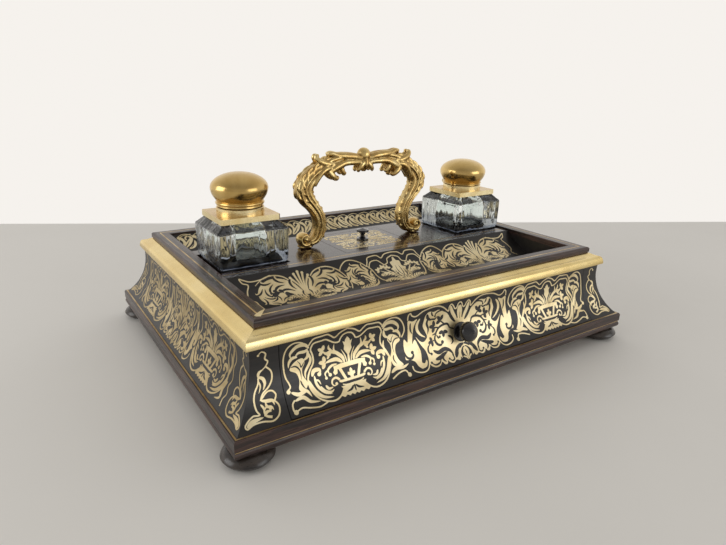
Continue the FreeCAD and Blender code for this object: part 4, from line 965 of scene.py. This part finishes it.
# Radius and height of the hollow under the bottle and of the well inside it.
KICK_ROWS = [(1, 3.4), (7, 3.2), (13, 2.4), (18, 1.1), (20.5, 0.5)]
WELL_ROWS = [
    (11, 30), (12.4, 27.4), (15.2, 25), (16.5, 22), (16.5, 9), (15.6, 6.6), (13, 5.6), (7, 6.2), (1, 6.6),
]
NECK_FOOT, NECK_RADIUS, MOUTH_RADIUS = 33.9, 14, 11
GLASS_FOOT = corners_of("left_ink_bottle")[0][2]
SHADE_FROM, SHADE_TO = GLASS_FOOT + 5, GLASS_FOOT + 11
# Painted shade: the glass darkens to navy between these heights above its foot.
shade_foot(glass, (0.10, 0.12, 0.17), SHADE_FROM, SHADE_TO)


def soft_octagon(half_x, half_y, cut, z):
    """A level ring round a rectangle with cut corners, each of its eight corners rounded a little."""
    corners = []
    for sx, sy in ((1, -1), (1, 1), (-1, 1), (-1, -1)):
        pair = [Vector((sx * half_x, sy * (half_y - cut))), Vector((sx * (half_x - cut), sy * half_y))]
        corners += pair if sx * sy > 0 else pair[::-1]
    ring = []
    for k, corner in enumerate(corners):
        before, after = corners[k - 1], corners[(k + 1) % len(corners)]
        start = corner + (before - corner).normalized() * CORNER_ROUND
        end = corner + (after - corner).normalized() * CORNER_ROUND
        for step in range(CORNER_STEPS + 1):
            t = step / CORNER_STEPS
            point = start * (1 - t) ** 2 + corner * 2 * t * (1 - t) + end * t**2
            ring.append((point.x, point.y, z))
    return ring


def cut_bottle(side):
    """A heavy block with softened edges, a sloping shoulder, a round neck and a round well inside."""
    (low_x, low_y, base), (high_x, high_y, top) = corners_of(f"{side}_ink_bottle")
    middle = Vector(((low_x + high_x) / 2, (low_y + high_y) / 2, 0))
    half_x, half_y = (high_x - low_x) / 2, (high_y - low_y) / 2
    block = [
        soft_octagon(half_x - inset, half_y - inset * DEPTH_INSET, cut, base + rise)
        for rise, inset, cut in BLOCK_ROWS
    ]
    count = len(block[0])
    turns = [math.atan2(y, x) for x, y, _ in block[-1]]

    def round_rings(rows):
        return [[(r * math.cos(a), r * math.sin(a), base + rise) for a in turns] for r, rise in rows]

    kick = round_rings(KICK_ROWS)
    neck = round_rings([(NECK_RADIUS, NECK_FOOT), (NECK_RADIUS, top - base), (MOUTH_RADIUS, top - base)])
    rings = kick + block + neck + round_rings(WELL_ROWS)
    verts = [(Vector(p) + middle) * MM for ring in rings for p in ring]
    caps = [tuple(range(count))[::-1], tuple(range(len(verts) - count, len(verts)))]
    walls = []
    for r in range(len(rings) - 1):
        for k in range(count):
            a, b = r * count + k, r * count + (k + 1) % count
            walls.append((a, b, b + count, a + count))
    faces = caps + walls
    piece = new_piece(f"{side}_glass", verts, faces, glass, ground_glass)
    soften(piece.data, [True] * len(faces), GLASS_SHARP)
    # The underside and the lowest rows of the block take the dark finish: painted shade.
    shaded_faces = count * (len(kick) + SHADED_FOOT_ROWS)
    piece.data.polygons.foreach_set("material_index", [1, 0] + [int(i < shaded_faces) for i in range(len(walls))])
    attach(piece, f"{side}_bottle")
    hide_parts(f"{side}_ink_bottle")


for side in ("left", "right"):
    cut_bottle(side)

COLLAR_EASE, EASE_ANGLE = 0.45, math.radians(60)
for side in ("left", "right"):
    eased = nodes[f"{side}_collar"].modifiers.new("eased", "BEVEL")
    eased.width = COLLAR_EASE * MM
    eased.segments = 3
    eased.limit_method = "ANGLE"
    eased.angle_limit = EASE_ANGLE


# ---------------------------------------------------------------- the domed lids
AROUND = 72
TURNED_SHARP = 40


def turned_piece(name, profile, middle, material):
    """A piece turned round an upright axis: profile is a closed row of (radius, height) in millimetres."""
    count = len(profile)
    verts = [
        (Vector((r * math.cos(math.tau * k / AROUND), r * math.sin(math.tau * k / AROUND), z)) + middle) * MM
        for k in range(AROUND) for r, z in profile
    ]
    faces = []
    for k in range(AROUND):
        here, there = k * count, (k + 1) % AROUND * count
        for i in range(count):
            n = (i + 1) % count
            faces.append((here + i, here + n, there + n, there + i))
    piece = new_piece(name, verts, faces, material)
    soften(piece.data, [True] * len(faces), TURNED_SHARP)
    return piece


LID_FOOT = [
    (15.2, 117.2), (16.4, 117.2), (16.7, 117.5), (16.6, 118.6), (17.1, 118.9), (17.5, 119.4), (17.6, 119.9),
    (17.3, 120.5), (16.5, 120.8),
]
LID_OUTSIDE = [
    (16.5, 121.2), (17.9, 123.0), (19.6, 125.8), (20.5, 128.6), (20.6, 131.0), (19.7, 133.6), (17.3, 136.3),
    (13.2, 138.7), (8.0, 140.4), (3.0, 141.1), (0.1, 141.2),
]
LID_INSIDE = [
    (0.1, 139.8), (3.0, 139.7), (8.0, 139.0), (12.6, 137.3), (16.3, 135.1), (18.4, 132.8), (19.2, 130.8),
    (19.1, 128.8), (18.2, 126.3), (16.6, 123.7), (15.2, 121.6),
]
HINGE_Y, HINGE_Z = 18.8, 117.3
KNUCKLE_HALF, KNUCKLE_RADIUS, BORE_RADIUS = 2.8, 1.7, 0.85
KNUCKLE_STEPS = 24
LEAF = [(16.0, 117.6), (17.6, 117.6), (17.6, 119.0), (16.0, 119.0)]  # its section, from knuckle to lid


def knuckle(name, middle):
    """The middle knuckle of a lid's hinge, bored for the pin, with the leaf that joins it to the lid."""
    steps = KNUCKLE_STEPS
    verts, faces = [], []
    for x in (-KNUCKLE_HALF, KNUCKLE_HALF):
        for radius in (KNUCKLE_RADIUS, BORE_RADIUS):
            for k in range(steps):
                turn = math.tau * k / steps
                y, z = HINGE_Y + radius * math.cos(turn), HINGE_Z + radius * math.sin(turn)
                verts.append(Vector((x, y, z)))
    for k in range(steps):
        n = (k + 1) % steps
        faces += [
            (k, n, 2 * steps + n, 2 * steps + k), (steps + n, steps + k, 3 * steps + k, 3 * steps + n),
            (n, k, steps + k, steps + n), (2 * steps + k, 2 * steps + n, 3 * steps + n, 3 * steps + k),
        ]
    first = len(verts)
    verts += [Vector((x, y, z)) for x in (-KNUCKLE_HALF, KNUCKLE_HALF) for y, z in LEAF]
    for face in ((3, 2, 1, 0), (4, 5, 6, 7), (0, 1, 5, 4), (1, 2, 6, 5), (2, 3, 7, 6), (3, 0, 4, 7)):
        faces.append(tuple(first + i for i in face))
    return new_piece(name, [(v + middle) * MM for v in verts], faces, bright)


# The right lid's dome sits lower on its collar than the left one's.
LID_SINK = {"left": 0.0, "right": 1.9}
RING_BASE, RING_RISE = 117.2, 4.0


def seated(profile, sink):
    """A lid's profile with its ring squeezed, so that the dome above sinks."""
    return [(r, z - sink * min(1, (z - RING_BASE) / RING_RISE)) for r, z in profile]


for side in ("left", "right"):
    pin_low, pin_high = corners_of(f"{side}_hinge_pin")
    lid_axis = Vector(((pin_low[0] + pin_high[0]) / 2, (pin_low[1] + pin_high[1]) / 2 - HINGE_Y, 0))
    profile = seated(LID_FOOT + smooth(LID_OUTSIDE, steps=3) + smooth(LID_INSIDE, steps=2), LID_SINK[side])
    dome = turned_piece(f"{side}_dome", profile, lid_axis, bright)
    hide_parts(f"{side}_domed_lid")
    for piece in (dome, knuckle(f"{side}_lid_knuckle", lid_axis)):
        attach(piece, f"{side}_lid")


# ---------------------------------------------------------------- the drawer's knob
KNOB_FOOT = Vector((0, -HALF_DEPTH - 8.4, 39.6))
KNOB_TILT = math.radians(69.7)
KNOB = [
    (0.1, -1.5), (6.9, -1.5), (7.3, 0.6), (6.9, 1.5), (5.6, 2.0), (4.2, 2.3), (3.4, 3.0), (3.3, 4.2),
    (4.0, 5.0), (5.6, 5.6), (6.7, 6.6), (7.2, 8.2), (6.9, 9.9), (5.8, 11.5), (4.2, 12.5), (2.4, 13.0),
    (1.9, 13.3), (1.4, 14.0), (0.7, 14.4), (0.1, 14.5),
]
knob = turned_piece("turned_knob", KNOB, Vector((0, 0, 0)), turned)
knob.data.transform(Matrix.Translation(KNOB_FOOT * MM) @ Matrix.Rotation(KNOB_TILT, 4, "X"))
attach(knob, "drawer")
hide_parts("drawer_knob")


# ---------------------------------------------------------------- the cast handle
handle_low, handle_high = corners_of("handle")
HANDLE_Y = (handle_low[1] + handle_high[1]) / 2
DECK_TOP = handle_low[2]
RING = 14
STRAND_STEPS = 6
BALL_ROWS = 9
# Each row of the middle line is x, z and how far the casting reaches to its outer and inner side.
HANDLE_ROWS = [
    (0, 143.4, 4.4, 4.6), (12, 144.8, 4.4, 4.4), (24, 144.8, 4.6, 4.6), (34, 142.2, 5.0, 5.2),
    (43.6, 137.6, 6.0, 6.0), (51.4, 131.2, 7.2, 7.6), (55.2, 124.6, 8.2, 8.4), (53.4, 117.4, 7.4, 7.0),
    (48.2, 110.6, 6.0, 5.6), (43.6, 103.8, 5.8, 5.4), (41.4, 96, 5.8, 5.4), (42, 88.6, 5.6, 5.0),
    (45.6, 82.8, 4.6, 4.4), (51.4, 80.2, 3.4, 3.2),
]


class Casting:
    """Round-sectioned strands that are fused into one skin."""

    def __init__(self):
        self.verts, self.faces = [], []

    def strand(self, rows, depth=1.0, mirror=1):
        """A tube through rows of x, y, z, radius and, where it differs, half-thickness across Y."""
        rows = smooth([(*row, row[3] * depth) if len(row) == 4 else row for row in rows], steps=STRAND_STEPS)
        first = len(self.verts)
        for i, (x, y, z, radius, thick) in enumerate(rows):
            a, b = rows[max(i - 1, 0)], rows[min(i + 1, len(rows) - 1)]
            along = (Vector(b[:3]) - Vector(a[:3])).normalized()
            across = along.cross(Vector((0, 1, 0))).normalized()
            side = across.cross(along)
            for k in range(RING):
                turn = math.tau * k / RING
                point = Vector((x, y, z)) + across * radius * math.cos(turn) + side * thick * math.sin(turn)
                self.verts.append(Vector((mirror * point.x, HANDLE_Y + point.y, point.z)) * MM)
        skin = []
        for start in range(first, len(self.verts) - RING, RING):
            for k in range(RING):
                a, b = start + k, start + (k + 1) % RING
                skin.append((a, b, b + RING, a + RING))
        skin.append(tuple(range(first, first + RING))[::-1])
        skin.append(tuple(range(len(self.verts) - RING, len(self.verts))))
        self.faces += [face if mirror > 0 else face[::-1] for face in skin]

    def ball(self, x, y, z, radius, mirror=1, depth=1.0):
        """A ball made of a strand that swells and closes."""
        rows = []
        for k in range(BALL_ROWS):
            turn = math.pi * (k + 0.15) / (BALL_ROWS - 0.7)
            rows.append((x, y, z - radius * math.cos(turn), radius * math.sin(turn)))
        self.strand(rows, depth, mirror)


def beside(rows, share, level):
    """Points beside the middle line: share is -1 at its inner edge and 1 at its outer, level is across."""
    line = []
    for i, (x, z, outer, inner) in enumerate(rows):
        a, b = rows[max(i - 1, 0)], rows[min(i + 1, len(rows) - 1)]
        run = math.hypot(b[0] - a[0], b[1] - a[1])
        out = (-(b[1] - a[1]) / run, (b[0] - a[0]) / run)
        reach = share * (outer if share > 0 else inner)
        line.append((x + out[0] * reach, level, z + out[1] * reach))
    return line


# The leaves of the arch, each a row of x, distance to the front or back, z and radius.
FRONDS = [
    [(3, 1.2, 144.8, 2.6), (10, 2.4, 146.8, 3.1), (19, 2.6, 147.8, 3.0), (26, 2.2, 148.6, 2.4),
     (31, 1.6, 150.2, 2.0), (34.4, 1.4, 149.6, 1.5)],
    [(5, 2.4, 142.2, 2.4), (12, 3.4, 142.8, 2.5), (20, 3.8, 142.6, 2.7), (27, 3.6, 140, 2.9),
     (33, 3.2, 136.8, 2.8)],
    [(24, 3.2, 140.6, 2.3), (22.6, 3.6, 136.8, 2.2), (20.8, 3.2, 134.2, 1.8), (19.2, 2.8, 135.2, 1.3)],
    [(35, 3.0, 137, 2.8), (31.6, 3.6, 133.2, 2.7), (28, 3.2, 130.8, 2.1), (26, 2.8, 132.2, 1.5)],
    [(30, 2.6, 142.4, 2.2), (36, 3.2, 142.6, 2.7), (41.2, 3.0, 144.2, 2.6), (44.8, 2.2, 146.8, 2.1),
     (45, 1.8, 149, 1.6), (43, 1.6, 149.2, 1.2)],
    [(33, 3.6, 139.4, 2.0), (38, 4.4, 138.6, 2.4), (42.4, 4.6, 135.4, 2.2), (45.6, 4.6, 130.6, 1.6),
     (47.4, 4.2, 126, 0.9)],
    [(32, 1.6, 145, 1.8), (35.4, 2.2, 146.4, 1.8), (38, 1.8, 146, 1.4)],
    [(1.6, 2.6, 142.4, 2.7), (4.4, 3.1, 139.2, 2.5), (6.6, 2.7, 136.4, 1.9), (5.8, 2.2, 135, 1.3)],
]
# The strands of a limb's core: where each runs, its width as a share of the reach, and its half-thickness.
CORES = [(0.0, 0.72, 4.3), (0.44, 0.52, 5.1), (-0.42, 0.5, 5.3)]
# Its ribs: where each runs, its radius, and the row that it starts from.
RIBS = [(0.03, 1.0, 9), (0.62, 0.7, 18), (-0.36, 0.6, 24)]
FACE_LEVEL = 4.9  # mm from the middle of the handle to the ribs on its front and back


def limb(casting, rows, mirror):
    """One half of the handle: a broad core with ribs, feathers, beads and leaves on its front and back."""
    last = len(rows) - 1
    shrink = [min(1, 0.62 + 0.05 * (last - i), 0.8 + 0.03 * i) for i in range(last + 1)]
    for share, part, thick in CORES:
        line = beside(rows, share, 0)
        reach = [(r[2] + r[3]) / 2 if not share else r[2] if share > 0 else r[3] for r in rows]
        core = [(*p, part * r, thick * k) for p, r, k in zip(line, reach, shrink)]
        casting.strand(core[::3], 1, mirror)
    for level in (-1, 1):
        for share, width, first in RIBS:
            rib = beside(rows, share, level * FACE_LEVEL)
            casting.strand([(*p, width) for p in rib][first::3], 1.0, mirror)
        root, tip = beside(rows, 0.12, level * 5.0), beside(rows, 0.84, level * 3.4)
        for k in range(9, 21, 2):
            casting.strand([(*root[k + 3], 0.6), (*tip[k + 1], 1.3), (*tip[k - 1], 0.5)], 0.9, mirror)
        edge = beside(rows, -0.74, level * 3.0)
        for k in range(20, last - 4, 2):
            casting.ball(*edge[k], 1.25, mirror)
        for frond in FRONDS:
            casting.strand([(x, level * y, z, r) for x, y, z, r in frond], 1.0, mirror)


VOLUTE_X, VOLUTE_Z = 55.8, DECK_TOP + 7.8
VOLUTE_STEPS, VOLUTE_START, VOLUTE_TURN, VOLUTE_RADIUS = 12, -150, 430, 5.3


def volute(casting, mirror):
    """The scroll at the foot of a limb, with its eye, and the tongue that it stands on."""
    turns = []
    for k in range(VOLUTE_STEPS + 1):
        share = k / VOLUTE_STEPS
        angle = math.radians(VOLUTE_START + VOLUTE_TURN * share)
        radius = VOLUTE_RADIUS * (1 - 0.7 * share)
        x, z = VOLUTE_X + radius * math.cos(angle), VOLUTE_Z + radius * math.sin(angle)
        turns.append((x, 0, z, 2.4 - 1.1 * share, 5.2))
    casting.strand(turns, 1, mirror)
    casting.ball(VOLUTE_X, 0, VOLUTE_Z, 4.6, mirror, 0.85)
    for level in (-1, 1):
        casting.ball(VOLUTE_X, level * 3.8, VOLUTE_Z, 2.0, mirror)
    tongue = [(50, 1.5, 1.5, 4.6), (56, 1.3, 1.3, 4.8), (60, 1.5, 1.1, 4.2)]
    casting.strand([(x, 0, DECK_TOP + rise, radius, thick) for x, rise, radius, thick in tongue], 1, mirror)


def cast_handle():
    """The whole casting: two limbs with their volutes, and the boss and ball at the top."""
    casting = Casting()
    rows = smooth(HANDLE_ROWS, steps=3)
    for mirror in (-1, 1):
        limb(casting, rows, mirror)
        volute(casting, mirror)
    casting.strand([(0, 0, 134.4, 1.6), (0, 0, 137.2, 3.7), (0, 0, 141, 4.8), (0, 0, 145.4, 4.4)], 1.12)
    for level in (-1, 1):
        casting.strand([(0, level * 4.6, 145, 1.0), (0, level * 4.9, 140.6, 1.4), (0, level * 3.6, 136, 0.8)])
    casting.ball(0, 0, handle_high[2] - 5.8, 5.75)
    return casting


SKIN_VOXEL, SKIN_KEEP = 0.00045, 0.5


def fused(name, casting, material):
    """The casting's strands as one skin."""
    piece = new_piece(name, casting.verts, casting.faces)
    remesh = piece.modifiers.new("skin", "REMESH")
    remesh.mode = "VOXEL"
    remesh.voxel_size = SKIN_VOXEL
    remesh.use_smooth_shade = True
    polish = piece.modifiers.new("soften", "SMOOTH")
    polish.factor = 0.5
    polish.iterations = 2
    thin = piece.modifiers.new("thin", "DECIMATE")
    thin.ratio = SKIN_KEEP
    skin = bpy.data.meshes.new_from_object(piece.evaluated_get(bpy.context.evaluated_depsgraph_get()))
    piece.modifiers.clear()
    piece.data = skin
    skin.polygons.foreach_set("use_smooth", [True] * len(skin.polygons))
    skin.materials.clear()
    skin.materials.append(material)
    return piece


handle_piece = fused("cast_handle", cast_handle(), gilt)
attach(handle_piece, "case")
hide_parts("handle")

# ---------------------------------------------------------------- stage, light and camera
CAMERA = Vector((-0.25598, -0.37468, 0.20152))
HEADING, PITCH, ROLL = math.radians(33.567), math.radians(71.351), math.radians(-1.239)
SENSOR_WIDTH, FOCAL_LENGTH = 36.0, 27.528
AHEAD = Vector((math.sin(HEADING), math.cos(HEADING), 0))
ASIDE = Vector((AHEAD.y, -AHEAD.x, 0))
FLOOR_END, FLOOR_SKEW, FLOOR_REACH = 0.837, 0.102, 4.0
floor_finish = finish(
    "floor_paint", [(0.3, (0.80, 0.785, 0.75)), (0.7, (0.84, 0.825, 0.79))],
    (0.56, 0.64), (3, EVENLY, 4), (60, EVENLY, 4), bump=(0.015, 0.0003))
camera_foot = Vector((CAMERA.x, CAMERA.y, 0))
floor_corners = [
    camera_foot + AHEAD * along + ASIDE * across
    for along, across in (
        (-FLOOR_REACH, -FLOOR_REACH), (-FLOOR_REACH, FLOOR_REACH),
        (FLOOR_END + FLOOR_SKEW * FLOOR_REACH, FLOOR_REACH),
        (FLOOR_END - FLOOR_SKEW * FLOOR_REACH, -FLOOR_REACH),
    )
]
floor = new_piece("floor", floor_corners, [(0, 1, 2, 3)], floor_finish)

LIT_POINT = Vector((0, 0, 0.08))


def softbox(name, place, width, height, watts):
    """A rectangular studio light that faces the stand."""
    light = bpy.data.lights.new(name, "AREA")
    light.shape = "RECTANGLE"
    light.size = width
    light.size_y = height
    light.energy = watts
    lamp = bpy.data.objects.new(name, light)
    lamp.location = place
    lamp.rotation_euler = (LIT_POINT - Vector(place)).to_track_quat("-Z", "Y").to_euler()
    lamp.visible_transmission = False
    bpy.context.scene.collection.objects.link(lamp)


softbox("left_window", (-1.5, 0.3, 0.5), 0.95, 0.85, 6.5)
softbox("right_window", (0.8, -1.5, 0.36), 1.15, 0.75, 5)

LEVEL_SPREAD = 0.6
OVERHEAD_FROM, OVERHEAD_TO = 0.25, 0.8


def studio(facing, behind, ahead, overhead):
    """A pale surround: brightest level ahead of the camera, and dimmer behind it and overhead."""
    world = bpy.data.worlds.new("studio")
    world.use_nodes = True
    tree = world.node_tree
    around = add(tree, "TexCoord").outputs["Generated"]
    heading = tree.nodes.new("ShaderNodeVectorMath")
    heading.operation = "DOT_PRODUCT"
    heading.inputs[1].default_value = facing
    tree.links.new(around, heading.inputs[0])
    strength = tree.nodes.new("ShaderNodeMath")
    strength.operation = "MULTIPLY"
    level = ranged(tree, heading.outputs["Value"], -LEVEL_SPREAD, LEVEL_SPREAD, behind, ahead)
    above = ranged(tree, axis_z(tree, around), OVERHEAD_FROM, OVERHEAD_TO, 1.0, overhead)
    tree.links.new(level, strength.inputs[0])
    tree.links.new(above, strength.inputs[1])
    background = tree.nodes["Background"]
    background.inputs["Color"].default_value = (1.0, 0.965, 0.92, 1)
    tree.links.new(strength.outputs["Value"], background.inputs["Strength"])
    return world


bpy.context.scene.world = studio(AHEAD, 0.48, 0.92, 0.72)
bpy.context.scene.view_settings.view_transform = "Standard"

camera_data = bpy.data.cameras.new("camera")
camera_data.sensor_width = SENSOR_WIDTH
camera_data.lens = FOCAL_LENGTH
camera_data.clip_start = 0.01
camera_data.clip_end = 20
camera = bpy.data.objects.new("camera", camera_data)
camera.location = CAMERA
camera.rotation_euler = Euler((PITCH, ROLL, -HEADING))
bpy.context.scene.collection.objects.link(camera)
bpy.context.scene.camera = camera
